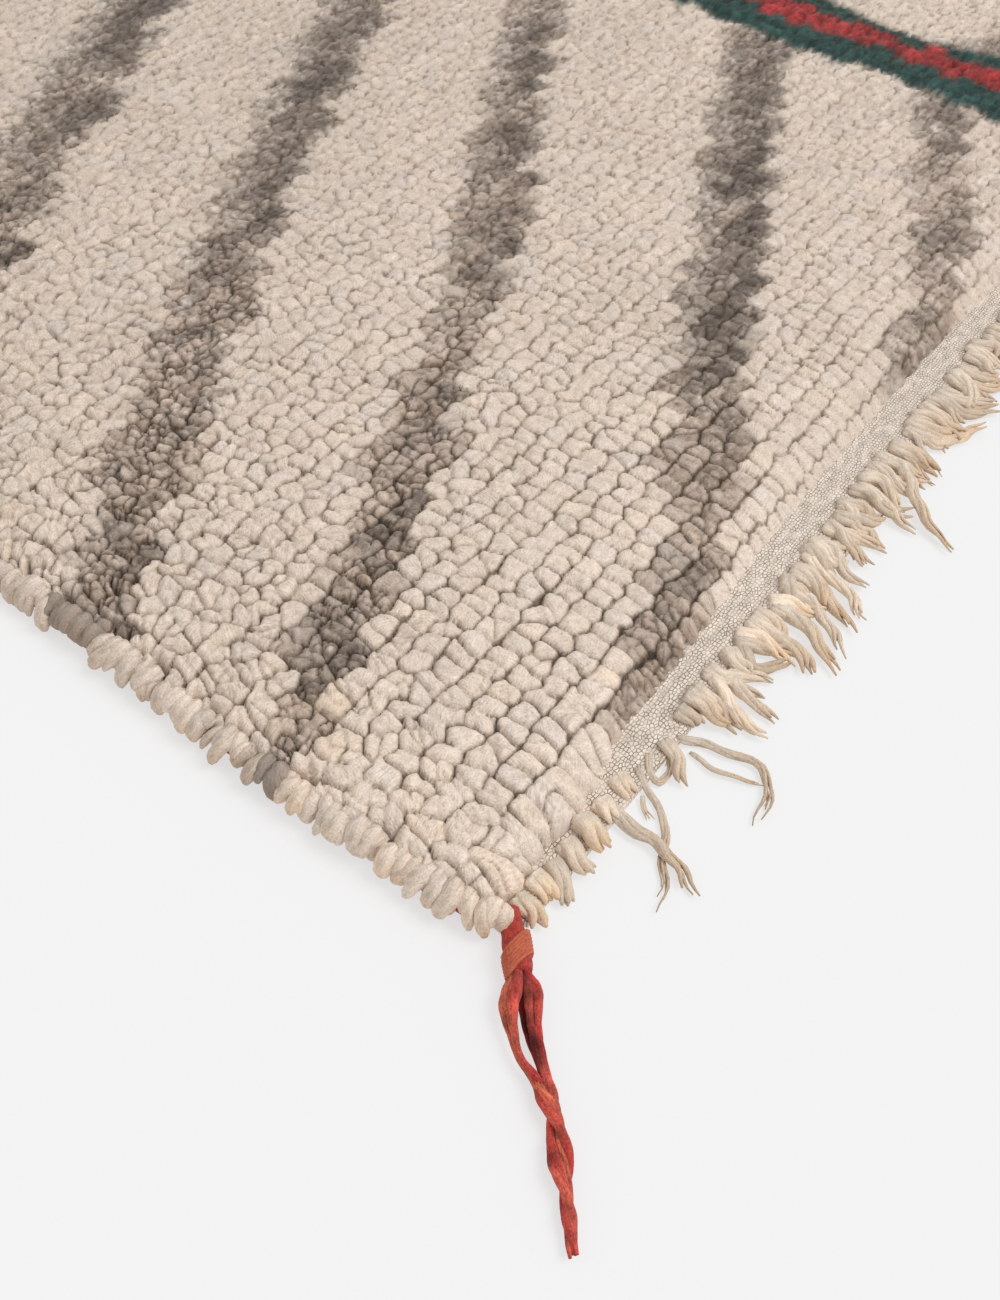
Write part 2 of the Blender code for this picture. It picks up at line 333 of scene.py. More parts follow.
def wool(name, streak, bump):
    """Matt wool.  Its colour is stored on the mesh, with how near a seam between two
    knots is.  Streaks run along its fibres, and thin dark lines of painted shade run along the
    seams."""
    made, tree, shader = matt(name, 0.10, 0.15)
    own = tree.nodes.new("ShaderNodeAttribute")
    own.attribute_name = "wool"
    fibre = tree.nodes.new("ShaderNodeUVMap")
    fibre.uv_map = "fibre"
    place = tree.nodes.new("ShaderNodeTexCoord").outputs["Object"]
    lines = noise(tree, stretched(tree, fibre.outputs["UV"], (220.0, 1300.0, 1.0)), 1.0, 3.0)
    hair = math_node(tree, "ADD", lines, noise(tree, place, 1100.0, 2.0))
    tone = spread(tree, hair, 0.7, 1.3, 1.0 - streak, 1.0 + streak)
    broken = spread(tree, noise(tree, place, 260.0, 1.0), 0.35, 0.65, -0.07, 0.05)
    seam = math_node(tree, "ADD", own.outputs["Alpha"], broken)
    # Painted shade: the colour darkens near a seam, in broken lines
    tone = math_node(tree, "MULTIPLY", tone, spread(tree, seam, 0.99, 1.09, 1.0, 0.36))
    tree.links.new(own.outputs["Color"], toned(tree, shader, tone, hair, bump))
    return made


HEAD_START = Vector((-0.7423, -1.2059, 0.0))    # on the floor under the rug's corner
tail_route = smooth_route([HEAD_START + TASSEL_ALONG * row["out"] + TASSEL_ACROSS * row["side"]
                           + Vector((0, 0, row["up"])) for row in TAIL_ROUTE], TAIL_STEP)
tail_steps = np.linalg.norm(np.diff(tail_route, axis=0), axis=1)
tail_along = np.concatenate([[0.0], np.cumsum(tail_steps)])
TAIL_LENGTH = float(tail_along[-1])


def tail_strand(row):
    """Path, thickness and colours of one strand of the tail."""
    along = np.linspace(-IN_WHIPPING, TAIL_LENGTH - row["short"] / 1000, TAIL_POINTS)
    middle = np.stack([np.interp(along, tail_along, tail_route[:, axis]) for axis in range(3)], -1)
    middle = middle + np.minimum(along, 0)[:, None] * np.array(TASSEL_ALONG)
    aside = np.interp(along, OPEN_PLACES, row["side"]) / 1000
    above = np.interp(along, OPEN_PLACES, row["up"]) / 1000
    thick = np.interp(along, OPEN_PLACES, row["thick"]) / 1000
    soft = np.ones(7) / 7
    aside, above, thick = (np.convolve(np.pad(each, 3, "edge"), soft, "valid")
                           for each in (aside, above, thick))
    tucked = smoothstep(-IN_WHIPPING, 0.002, along)
    aside, above = aside * (0.45 + 0.55 * tucked), above * (0.45 + 0.55 * tucked)
    turn = 2 * math.pi * (along / TWIST_TURN + 0.5 * row["bundle"] + TWIST_START)
    own_turn = 2 * math.pi * (along / OWN_TURN + row["thick"][0] + 0.37 * row["short"])
    narrow = 1 - 0.45 * smoothstep(0.62, 1.0, along / TAIL_LENGTH)
    swell = 1 + 0.12 * np.sin(2 * math.pi * along / 0.021 + row["short"])
    twisted = narrow * (TWIST_RADIUS * np.cos(turn) + OWN_RADIUS * np.cos(own_turn))
    raised = narrow * (0.6 * TWIST_RADIUS * np.sin(turn) + 0.8 * OWN_RADIUS * np.sin(own_turn))
    closed = smoothstep(CLOSED_FROM, CLOSED_AT, along)
    aside = (1 - closed) * aside + closed * twisted
    above = (1 - closed) * above + closed * raised
    path = middle + aside[:, None] * np.array(TASSEL_ACROSS) + above[:, None] * (0, 0, 1)
    end = (TAIL_LENGTH - row["short"] / 1000 - along) / TIP_LENGTH
    thinned = np.clip(TIP_SHARE + (1 - TIP_SHARE) * end, TIP_SHARE, 1)
    thick = thick * swell * (1 - 0.16 * closed) * thinned
    share = (0.5 - 0.5 * np.cos(2 * math.pi * along / 0.034 + 3 * row["short"]))[:, None]
    share = np.clip(0.6 * share + 0.7 * (along / TAIL_LENGTH)[:, None] - 0.1, 0, 1)
    color = np.array(DYES[row["from"]]) * (1 - share) + np.array(DYES[row["to"]]) * share
    # Painted highlights and shade: the colour brightens and darkens in waves along the strand
    light = np.sin(2 * math.pi * along / 0.019 + 5 * row["short"])
    light = light + 0.6 * np.sin(2 * math.pi * along / 0.0083)
    return path, thick, color * (1 + 0.20 * light)[:, None]


tail_paths, tail_radii, tail_colors = zip(*(tail_strand(row) for row in TAIL_STRANDS))
tail_part = yarns(tail_paths, tail_radii, tail_colors, sides=14, plies=3, twist=0.022, ply_depth=0.2)
tail = joined_piece("tassel_strands", [tail_part], wool("tassel_wool", 0.40, 1.0))
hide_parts("tassel_tail")
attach(tail, "root")

# Corner tassel, head
# The end of the red side cord lies on the floor at the rug's corner.  It is whipped
# round and round with orange yarn, which holds the strands of the tail.

HEAD_LENGTH = 0.024
HEAD_MIDDLE = 0.0060      # height of its middle
WHIPPING = 0.00090        # radius of the whipping yarn
WHIPPING_FROM = 0.0085    # down the head
WHIPPING_TO = 0.0180
WHIPPING_TURNS = 7
WHIPPING_SLANT = 0.85     # the turns slant across the head by this much
HEAD_RADIUS = 0.0043      # at its two ends
HEAD_SWELL = 0.0009       # it is this much fatter half-way
CORD_UNDER = 0.006        # the cord's end comes from this far up under the pile


def head_radius(along):
    """Radius of the whipped head at that distance down it."""
    share = np.clip(np.asarray(along) / HEAD_LENGTH, 0, 1)
    return HEAD_RADIUS + HEAD_SWELL * np.sin(math.pi * share ** 0.95)


head_middle = np.array(HEAD_START) + (0, 0, HEAD_MIDDLE)
core_along = np.linspace(-CORD_UNDER, HEAD_LENGTH - 0.004, 26)
core = head_middle + core_along[:, None] * np.array(TASSEL_ALONG)
wound = np.linspace(0, 1, WHIPPING_TURNS * 18)
wound_along = WHIPPING_FROM + (WHIPPING_TO - WHIPPING_FROM) * wound
wound_turn = 2 * math.pi * WHIPPING_TURNS * wound
wound_out = head_radius(wound_along) + 0.4 * WHIPPING
wound_along = wound_along + WHIPPING_SLANT * wound_out * np.cos(wound_turn)
whipping = (head_middle + wound_along[:, None] * np.array(TASSEL_ALONG)
            + (wound_out * np.cos(wound_turn))[:, None] * np.array(TASSEL_ACROSS)
            + (wound_out * np.sin(wound_turn))[:, None] * (0, 0, 1))
whipping[:, 2] = np.maximum(whipping[:, 2], WHIPPING + 0.0001)    # pressed flat on the floor
head = joined_piece("tassel_whipping", [
    yarns([core], [head_radius(core_along)], [DYES["red"]], sides=18, plies=4, twist=0.030,
          ply_depth=0.2),
    yarns([whipping], np.full(len(whipping), WHIPPING), [DYES["orange"]], sides=6)],
    wool("whipping_wool", 0.26, 1.0))
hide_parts("tassel_head")
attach(head, "root")

# Side edges
# The rug is woven by hand, so both its side edges wander a little.  The pile hangs out
# over the ground weave there.

WOVEN_LENGTH = rug_high.y - rug_low.y
WIDTH = rug_high.x - rug_low.x
SIDE_REBATE = 0.0062      # the pile hangs out this far over the ground weave
SIDE_WAVE = 0.012         # the edges wander this far
CORNER_ROUNDING = 0.005
CORNER_LENGTH = 0.012
# Waves of an edge: share of the wandering, length, and where along the edge one starts
SIDE_WAVES = [
    {"share": 0.34, "length": 0.37, "start": 0.16},
    {"share": 0.20, "length": 0.95, "start": 0.30},
]
RIGHT_SHIFT = 0.23        # the right edge's waves start this much further on


def fade(distance, reach):
    """1 at no distance, and smoothly down to almost 0 at twice the reach."""
    return np.exp(-(distance / reach) ** 2)


def side_x(y, side):
    """The outermost place of the pile on a side edge: side is -1 or 1."""
    y = np.asarray(y, float)
    wander = np.full_like(y, 0.5)
    along = y - rug_low.y - (RIGHT_SHIFT if side > 0 else 0.0)
    for wave in SIDE_WAVES:
        wander += wave["share"] * np.sin(2 * math.pi * (along - wave["start"]) / wave["length"])
    from_corner = WOVEN_LENGTH / 2 - np.abs(y)
    inset = SIDE_WAVE * np.clip(wander, 0, 1) + CORNER_ROUNDING * fade(from_corner, CORNER_LENGTH)
    return side * (WIDTH / 2 - inset)


# Ground weave
# One piece of plain-woven wool cloth that carries the knots.  It runs on past the
# pile at both ends as a narrow flat-woven strip.

WEAVE_THICK = 0.0040
WEAVE_ABOVE = 0.0003      # its underside is this far above the floor
WEAVE_ACROSS = 24
WEAVE_ALONG = 120

bpy.ops.mesh.primitive_grid_add(x_subdivisions=WEAVE_ACROSS, y_subdivisions=WEAVE_ALONG, size=2)
weave = bpy.context.object
weave.name = "ground_weave"
at = np.zeros(len(weave.data.vertices) * 3)
weave.data.vertices.foreach_get("co", at)
at = at.reshape(-1, 3)
at[:, 1] *= WOVEN_LENGTH / 2
left_edge = side_x(at[:, 1], -1) + SIDE_REBATE
right_edge = side_x(at[:, 1], 1) - SIDE_REBATE
at[:, 0] = left_edge + (right_edge - left_edge) * (at[:, 0] + 1) / 2
at[:, 2] = WEAVE_THICK
weave.data.vertices.foreach_set("co", at.ravel())
thicken = weave.modifiers.new("thick", "SOLIDIFY")
thicken.thickness = WEAVE_THICK - WEAVE_ABOVE
thicken.offset = -1
bpy.ops.object.modifier_apply(modifier="thick")
bpy.ops.object.shade_smooth_by_angle(angle=math.radians(40))
bpy.ops.object.select_all(action="DESELECT")


def weave_finish():
    """Plain weave of cream wool, with painted shade in its hollows, stronger in some patches."""
    made, tree, shader = matt("flatwoven_wool", 0.15, 0.1)
    place = tree.nodes.new("ShaderNodeTexCoord").outputs["Object"]
    beads = tree.nodes.new("ShaderNodeTexVoronoi")
    beads.voronoi_dimensions = "2D"
    beads.feature = "DISTANCE_TO_EDGE"
    beads.inputs["Scale"].default_value = 1.0
    beads.inputs["Randomness"].default_value = 0.75
    tree.links.new(stretched(tree, place, (440.0, 660.0, 1.0)), beads.inputs["Vector"])
    # Painted shade: the hollows between the beads are darkened, more in some patches
    hollow = spread(tree, beads.outputs["Distance"], 0.0, 0.14, 1.0, 0.0)
    shade_mix = noise(tree, stretched(tree, place, (160.0, 260.0, 1.0)), 1.0, 2.0)
    dark = math_node(tree, "MULTIPLY", hollow, spread(tree, shade_mix, 0.36, 0.58, 0.40, 1.0))
    picks = noise(tree, stretched(tree, place, (90.0, 300.0, 1.0)), 1.0, 3.0)
    tone = math_node(tree, "MULTIPLY", spread(tree, dark, 0.0, 1.0, 1.0, 0.24),
                     spread(tree, picks, 0.34, 0.66, 0.80, 1.12))
    toned(tree, shader, tone, tone, 0.9).default_value = (0.88, 0.760, 0.650)
    return made


weave.data.materials.append(weave_finish())
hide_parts("rug")
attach(weave, "root")

# Pile
# Rows of knots of thick handspun wool, tied by hand on the ground weave.  Rows run
# across the rug.  Each knot is a small rounded cushion that its neighbours press on.

CREAM = np.array((0.790, 0.664, 0.560))
GREY = np.array((0.345, 0.275, 0.226))
GREEN = np.array((0.020, 0.060, 0.050))
RED = np.array((0.360, 0.033, 0.031))
ROW_PITCH = 0.0108
KNOT_PITCH = 0.0100
PILE_INSET = 0.0130       # the pile's first row starts this far in from the end's edge
PILE_TOP = rug_high.z
SIDE_MARGIN = 0.002       # the lattice of knots starts this far in from the side edge
SPARE_ROWS = 2            # the lattice runs on past the pile, so that every knot has neighbours
SPARE_COLUMNS = 3

# Stripes of grey knots on the half of the rug at the tassel's side.  Heights up the
# rug, from its near end: side = at the side edge, middle = half-way to the coloured
# line, line = at that line.  Widths: thin = at the side edge, wide = further in,
# widest = near the line.  tone = how light it is.
STRIPES = [
    {"side": -0.105, "middle": -0.003, "line": 0.136,
     "thin": 0.026, "wide": 0.032, "widest": 0.038, "tone": 1.58},
    {"side": -0.060, "middle": 0.115, "line": 0.278,
     "thin": 0.026, "wide": 0.035, "widest": 0.046, "tone": 0.97},
    {"side": 0.112, "middle": 0.267, "line": 0.468,
     "thin": 0.014, "wide": 0.034, "widest": 0.045, "tone": 1.16},
    {"side": 0.214, "middle": 0.419, "line": 0.585,
     "thin": 0.030, "wide": 0.046, "widest": 0.047, "tone": 1.05},
    {"side": 0.376, "middle": 0.573, "line": 0.745,
     "thin": 0.045, "wide": 0.052, "widest": 0.053, "tone": 0.94},
]
STRIPE_STEP = 0.147       # further stripes follow this far apart
STRIPE_COUNT = 18
MIRROR_SHIFT = 0.008      # the right half's stripes are this much further up
ROW_RAGGED = 0.0020       # rows, knots and a stripe's two sides stray this much
KNOT_RAGGED = 0.0010
SIDE_RAGGED = 0.0030
TO_LINE = 0.70            # from the side edge to the coloured line
LINE_EDGES = (0.705, 0.745, 0.770, 0.790)    # green, red and green again, from the left edge

END_SPREAD = 0.0268       # the rows near an end are further apart, and take up this much more
END_SPREAD_REACH = 0.085
FIRST_ROW_LONG = 0.017    # the first row's knots are long: the spare rows are this far off
ROW_WANDER = 0.0011
ROW_BEND = 0.0085         # the first rows bend this far into the rug, and back
BEND_REACH = 0.16         # rows further from the end bend less and less
rows = int((WOVEN_LENGTH - 2 * PILE_INSET - 2 * END_SPREAD) / ROW_PITCH)
columns = int(WIDTH / KNOT_PITCH)
rng = np.random.default_rng(11)
row_index, column_index = np.meshgrid(np.arange(-SPARE_ROWS, rows + SPARE_ROWS),
                                      np.arange(-SPARE_COLUMNS, columns + SPARE_COLUMNS),
                                      indexing="ij")


def drift(shape, reach, seed):
    """Smooth random values over the lattice of knots, about -1 to 1, reach knots across."""
    source = np.random.default_rng(seed).normal(size=shape)
    for axis in (0, 1):
        kernel = np.exp(-0.5 * (np.arange(-2 * reach, 2 * reach + 1) / reach) ** 2)
        source = np.apply_along_axis(lambda line: np.convolve(line, kernel, "same"), axis, source)
    return source / source.std()


def row_bend(inward):
    """How far the first rows bend into the rug, at that distance from the side edge."""
    return ROW_BEND * (smoothstep(0.12, 0.33, inward) - smoothstep(0.44, 0.70, inward))


def end_line(inward):
    """How far the pile starts in from the flat-woven end's edge, inward of the side."""
    return 0.0088 + 0.0127 * smoothstep(0.05, 0.125, inward) + row_bend(inward)


def lattice_sides(y):
    """Where the lattice of knots starts and ends across the rug."""
    return side_x(y, -1) + SIDE_MARGIN, side_x(y, 1) - SIDE_MARGIN


lattice = row_index.shape
first_row = -(rows - 1) / 2 * ROW_PITCH
pile_near, pile_far = first_row - ROW_PITCH / 2, -first_row + ROW_PITCH / 2
ys = first_row + row_index * ROW_PITCH
plain_share = (column_index + 0.5) / columns
inward_of = WIDTH * np.minimum(plain_share, 1 - plain_share)
bend = row_bend(inward_of)


def end_shift(y, bend):
    """How far a row is moved along the rug by the bend and the spread at both ends."""
    from_near, from_far = (y - pile_near).clip(0), (pile_far - y).clip(0)
    wider = np.exp(-from_far / END_SPREAD_REACH) - np.exp(-from_near / END_SPREAD_REACH)
    bent = np.exp(-from_near / BEND_REACH) - np.exp(-from_far / BEND_REACH)
    return bend * bent + END_SPREAD * wider


ys = ys + end_shift(ys, bend) + ROW_WANDER * drift(lattice, 6, 1)
ys = ys - FIRST_ROW_LONG * (row_index < 0) + FIRST_ROW_LONG * (row_index >= rows)
row_offset = rng.uniform(-0.5, 0.5, size=(lattice[0], 1))
low_x, high_x = lattice_sides(ys)
xs = low_x + (high_x - low_x) * (column_index + 0.5 + 0.6 * row_offset) / columns
from_left = xs - rug_low.x
from_end = WOVEN_LENGTH / 2 - np.abs(ys)
loose = (0.19 + 0.09 * np.exp(-np.minimum(from_left, WIDTH - from_left) / 0.09)
         - 0.11 * fade(from_end, 0.14))
built = ((row_index >= 0) & (row_index < rows) & (column_index >= 0) & (column_index < columns))
xs = xs + KNOT_PITCH * loose * rng.normal(size=lattice) * built
ys = ys + ROW_PITCH * 0.75 * loose * rng.normal(size=lattice) * built


def stripe_height(row, share):
    """Height up the rug of a stripe's middle: share runs from the side edge to the line."""
    t = 2 * share
    b = (-3 * row["side"] + 4 * row["middle"] - row["line"]) / 2
    c = (row["side"] - 2 * row["middle"] + row["line"]) / 2
    return row["side"] + b * t + c * t * t


def all_stripes():
    """The stripes that are named, and those that follow them up to the far end."""
    made = list(STRIPES)
    while len(made) < STRIPE_COUNT:
        last = dict(made[-1], tone=1.0)
        for place in ("side", "middle", "line"):
            last[place] += STRIPE_STEP
        made.append(last)
    return made


def knot_colors(x, y):
    """Colour of each knot, from its place on the rug."""
    shape = x.shape
    left = x - rug_low.x
    inward = np.minimum(left, WIDTH - left)
    height = y - rug_low.y
    each_row = (shape[0], 1)
    shift = rng.normal(size=each_row) * ROW_RAGGED + rng.normal(size=shape) * KNOT_RAGGED
    mirrored = np.where(left > WIDTH / 2, MIRROR_SHIFT, 0.0)
    grey, tone = np.zeros(shape), np.ones(shape)
    for row in all_stripes():
        middle = stripe_height(row, inward / TO_LINE) + mirrored
        wide = row["thin"] + (row["wide"] - row["thin"]) * smoothstep(0.0, 0.12, inward)
        wide = wide + (row["widest"] - row["wide"]) * smoothstep(0.22, 0.42, inward)
        ragged = shift + SIDE_RAGGED * rng.normal(size=(2,) + each_row)
        lower, upper = ((height + each - middle) / wide + 0.5 for each in ragged)
        cover = smoothstep(-0.06, 0.05, lower) * (1 - 0.30 * smoothstep(0.50, 1.0, upper))
        cover = cover * (1 - smoothstep(0.98, 1.10, upper))
        along = smoothstep(0.10, 0.45, inward)
        tone = np.where(cover > grey, row["tone"] * (1.34 - 0.54 * along), tone)
        grey = np.maximum(grey, cover)
    own = rng.normal(size=shape)
    patch = drift(shape, 2, 5)
    streak = rng.normal(size=each_row) + 0.6 * drift(shape, 1, 6)
    uneven = 0.10 + 0.12 * np.exp(-inward / 0.12)
    dull = tone * np.exp(uneven * own + 0.10 * patch + 0.22 * streak)
    grey = grey * np.clip(1 + (0.22 * streak + 0.12 * own) * (grey < 0.9), 0.6, 1.3)
    grey = np.clip(grey, 0, 1)[..., None]
    # The cream is lightest near the two near corners, and duller further up the rug
    field = 1 + 0.070 * fade(inward + height, 0.30)
    field = field - 0.110 * smoothstep(0.12, 0.60, height)
    cream = CREAM * (field * (1 + 0.020 * own + 0.014 * patch))[..., None]
    # One small yellow stain near the side edge
    stained = 0.75 * fade(np.hypot(left - 0.030, height - 0.116), 0.012)[..., None]
    cream = cream * (1 - stained * (0.04, 0.20, 0.42))
    color = cream * (1 - grey) + GREY * np.clip(dull, 0.45, 1.7)[..., None] * grey
    warm = 0.010 * rng.normal(size=shape)[..., None]
    color = color * (1 + warm * (1.0, 0.0, -1.5))
    wobble = [0.0030 * np.clip(drift(shape, 1, 20 + edge), -2, 2)[:, :1] for edge in range(4)]
    edges = [edge + wobble[index] for index, edge in enumerate(LINE_EDGES)]
    edges[1] = edges[1] + 0.0012 * rng.normal(size=each_row)
    edges[2] = edges[2] + 0.0025 * rng.normal(size=each_row)
    dyed = 1 + 0.22 * rng.normal(size=shape)[..., None]
    green = ((left > edges[0]) & (left < edges[3]))[..., None]
    red = ((left > edges[1]) & (left < edges[2]))[..., None]
    color = np.where(green, GREEN * np.clip(dyed, 0.5, 1.8), color)
    return np.where(red, RED * np.clip(dyed, 0.5, 1.5), color), grey[..., 0] * ~green[..., 0]


colors, greyness = knot_colors(xs, ys)


def oval(small, longer, lying):
    """How much distance in x, in y and in both counts for each knot or lobe, which is
    longer along the way it lies."""
    return (small * (np.cosh(longer) - np.sinh(longer) * np.cos(2 * lying)),
            small * (np.cosh(longer) + np.sinh(longer) * np.cos(2 * lying)),
            -small * np.sinh(longer) * np.sin(2 * lying))


# Each knot is longer one way than the other, and most so near the side edges
from_edge = np.minimum(from_left, WIDTH - from_left)
longer = 0.24 + 0.34 * fade(from_edge, 0.11) + 0.06 * rng.normal(size=lattice)
knot_lying = rng.uniform(0, math.pi, size=lattice)
knot_small = np.exp(0.14 * rng.normal(size=lattice))
press_xx, press_yy, press_xy = oval(knot_small, longer, knot_lying)


def pressed_outline(directions, chosen):
    """How far each chosen knot reaches in each direction before its neighbours stop it."""
    power = 8
    u, v = directions[:, 0], directions[:, 1]
    own_xx, own_yy, own_xy = (each[chosen][:, None] for each in (press_xx, press_yy, press_xy))
    own = own_xx * u * u + 2 * own_xy * u * v + own_yy * v * v
    total = np.zeros_like(own)
    for down in range(-2, 3):
        for over in range(-3, 4):
            if (down, over) == (0, 0):
                continue
            turned = [np.roll(each, (-down, -over), axis=(0, 1))[chosen][:, None]
                      for each in (xs, ys, press_xx, press_yy, press_xy)]
            dx, dy = turned[0] - xs[chosen][:, None], turned[1] - ys[chosen][:, None]
            xx, yy, xy = turned[2:]
            theirs = xx * u * u + 2 * xy * u * v + yy * v * v
            toward = (xx * dx + xy * dy) * u + (xy * dx + yy * dy) * v
            apart = xx * dx * dx + 2 * xy * dx * dy + yy * dy * dy
            root = toward * toward + (own - theirs) * apart
            closeness = np.where(root > 0, toward + np.sqrt(np.maximum(root, 0)), 0) / apart
            total += np.maximum(closeness, 0) ** power
    return 1 / total ** (1 / power)


soft_height = drift(lattice, 4, 9)
knot_height = 0.0003 * rng.normal(size=lattice) + 0.0004 * soft_height
knot_tilt = 0.11 * rng.normal(size=lattice + (2,))
knot_number = np.arange(built.size).reshape(lattice)

# The part of the pile that is seen from close by is one surface, with a fine mesh
GRID = (588, 762)         # cells across and up the camera's view
SEEN_MARGIN = 1.06        # knots are part of it when they are within this share of the view
NET_MARGIN = 1.10         # the net reaches this far
FIELD = SENSOR / 2 / LENS
NARROW = 1000 / 1300      # the view's width, as a share of its height
offset = np.stack([xs, ys, np.full(lattice, PILE_TOP)], -1) - np.array(camera.location)
depth = offset @ np.array(ahead)
across = np.abs(offset @ np.array(right)) / depth
upright = np.abs(offset @ np.array(up)) / depth
seen = (built & (depth > 0) & (upright < SEEN_MARGIN * FIELD)
        & (across < SEEN_MARGIN * FIELD * NARROW))
plain = built & ~seen


def soft_noise(place, size, seed):
    """Smooth random values over the plan, about -1 to 1, that change within size."""
    period = 251          # the values come again after so many steps
    table = np.random.default_rng(seed).normal(size=(period, period))
    lean = 0.6 + seed
    across_plan = place[..., 0] * math.cos(lean) + place[..., 1] * math.sin(lean)
    along_plan = place[..., 1] * math.cos(lean) - place[..., 0] * math.sin(lean)
    x, y = across_plan / size, along_plan / size
    low_x, low_y = np.floor(x).astype(int), np.floor(y).astype(int)
    x, y = x - low_x, y - low_y
    x, y = x * x * (3 - 2 * x), y * y * (3 - 2 * y)
    low_x, low_y = low_x % period, low_y % period
    next_x, next_y = (low_x + 1) % period, (low_y + 1) % period
    here = table[low_x, low_y] * (1 - x) + table[next_x, low_y] * x
    beyond = table[low_x, next_y] * (1 - x) + table[next_x, next_y] * x
    return here * (1 - y) + beyond * y


def shifted(place, size, distance, seed):
    """The places moved about at random, smoothly."""
    moves = [soft_noise(place, size, seed), soft_noise(place, size, seed + 1)]
    return place + distance * np.stack(moves, -1)


def lobe_borders(place, middles, metric, numbers):
    """Which of the middles near each place owns it, how far off the line between that
    one and each other one runs, and how strong that line is."""
    apart = place[:, None] - middles
    xx, xy, yy = metric
    pull = np.stack([xx * apart[..., 0] + xy * apart[..., 1],
                     xy * apart[..., 0] + yy * apart[..., 1]], -1)
    far = (pull * apart).sum(-1)
    spot = np.arange(len(place))
    owner = far.argmin(1)
    steep = 2 * np.linalg.norm(pull - pull[spot, owner][:, None], axis=-1)
    own = numbers[spot, owner][:, None]
    gap = (far - far[spot, owner][:, None]) / np.maximum(steep, 1e-9)
    gap = np.where(numbers == own, 1.0, gap)
    # A number between 0 and 1 that is as good as random, and the same from both sides
    key = 0.7310 * (numbers + own) + 0.3171 * ((numbers * own) % 9973)
    strength = np.modf(np.abs(np.sin(key) * 43758.5453))[0]
    return owner, gap, strength


def lump_gap(place, size, seed):
    """How far off the border is between small lumps of about that size."""
    period = 257
    cell = np.floor(place / size).astype(int)
    table = np.random.default_rng(seed).uniform(0.1, 0.9, size=(period, period, 2))
    steps = np.stack(np.meshgrid((-1, 0, 1), (-1, 0, 1), indexing="ij"), -1).reshape(-1, 2)
    near = cell[:, None] + steps
    middles = (near + table[near[..., 0] % period, near[..., 1] % period]) * size
    far = np.sort(((place[:, None] - middles) ** 2).sum(-1), axis=1)
    return np.sqrt(far[:, 1]) - np.sqrt(far[:, 0])


def lattice_near(place):
    """Row and column of the lattice of knots near each place."""
    x, y = place[:, 0], place[:, 1]
    low_x, high_x = lattice_sides(y)
    share = (x - low_x) / (high_x - low_x)
    inward = WIDTH * np.minimum(share, 1 - share)
    bend = row_bend(inward)
    straight = y.copy()
    for _turn in range(8):
        straight = y - end_shift(straight, bend)
    return (np.rint((straight - first_row) / ROW_PITCH).astype(int) + SPARE_ROWS,
            np.rint(share * columns - 0.5).astype(int) + SPARE_COLUMNS)


# The lobes that can own a place: rows and columns away from it, and which lobe of the knot
DOWNS, OVERS, LOBES = (each.ravel() for each in np.meshgrid(range(-2, 3), range(-2, 3), range(2),
                                                            indexing="ij"))
LOBE_ROUND = 0.0031       # a lobe rounds over within this distance of its edge
LOBE_DEPTH = 0.0020       # the seams between lobes are this deep
SEAM_LINE = 0.00036       # half the width of the dark line in a seam
FOLD_PITCH = 0.0046       # soft folds in the lobes
FOLD_DEPTH = 0.0007
LUMP_PITCH = 0.0062       # small lumps on lobes near the side edge and on grey knots
LUMP_ROUND = 0.0026
LUMP_DEPTH = 0.0012
END_DROP = 0.0155         # the pile comes down this far at the flat-woven end
SIDE_DROP = 0.0032        # and this far at the side edge

# Each knot has two lobes side by side.  Many of those near a side edge lie aslant
lobe_draw = np.random.default_rng(12)
both_lobes = lattice + (2,)
at_side = fade(from_edge, 0.060)
side_lying = math.pi * lobe_draw.uniform(0.15, 0.52, size=lattice)
aslant = (lobe_draw.random(lattice) < at_side) & (row_index > 0)
lobe_way = np.where(aslant, side_lying + math.pi / 2, lobe_draw.uniform(0, math.pi, size=lattice))
lobe_half = KNOT_PITCH * lobe_draw.uniform(0.13, 0.29, size=lattice)
at_end = fade(from_end, 0.12)
lobe_half = np.where(aslant, 0.28 * KNOT_PITCH, lobe_half * (1 - 0.6 * at_end))
lobe_step = lobe_half[..., None] * np.stack([np.cos(lobe_way), np.sin(lobe_way)], -1)
knot_middles = np.stack([xs, ys], -1)
lobe_middles = np.stack([knot_middles - lobe_step, knot_middles + lobe_step], 2)
lobe_long = 0.14 + 0.38 * aslant[..., None] + 0.08 * lobe_draw.normal(size=both_lobes)
lobe_aslant = side_lying[..., None] + 0.2 * lobe_draw.normal(size=both_lobes)
lobe_lying = lobe_draw.uniform(0, math.pi, size=both_lobes)
lobe_lying = np.where(aslant[..., None], lobe_aslant, lobe_lying)
lobe_small = np.exp(0.17 * lobe_draw.normal(size=both_lobes))
lobe_xx, lobe_yy, lobe_xy = oval(lobe_small, lobe_long, lobe_lying)
lobe_number = np.arange(lobe_xx.size).reshape(lobe_xx.shape)
lobe_tilt = 0.07 * lobe_draw.normal(size=lattice + (2, 2))
lobe_light = lobe_draw.normal(size=both_lobes)

# Dyed and grey wool is more mottled than the cream
DARK_WOOL = 0.45
is_dark = colors.mean(-1) < DARK_WOOL
mottle = np.where(is_dark, 0.17, 0.034)


def deepest(values):
    """A soft maximum over the last axis."""
    return (np.clip(values, 0, None) ** 5).sum(-1) ** 0.2


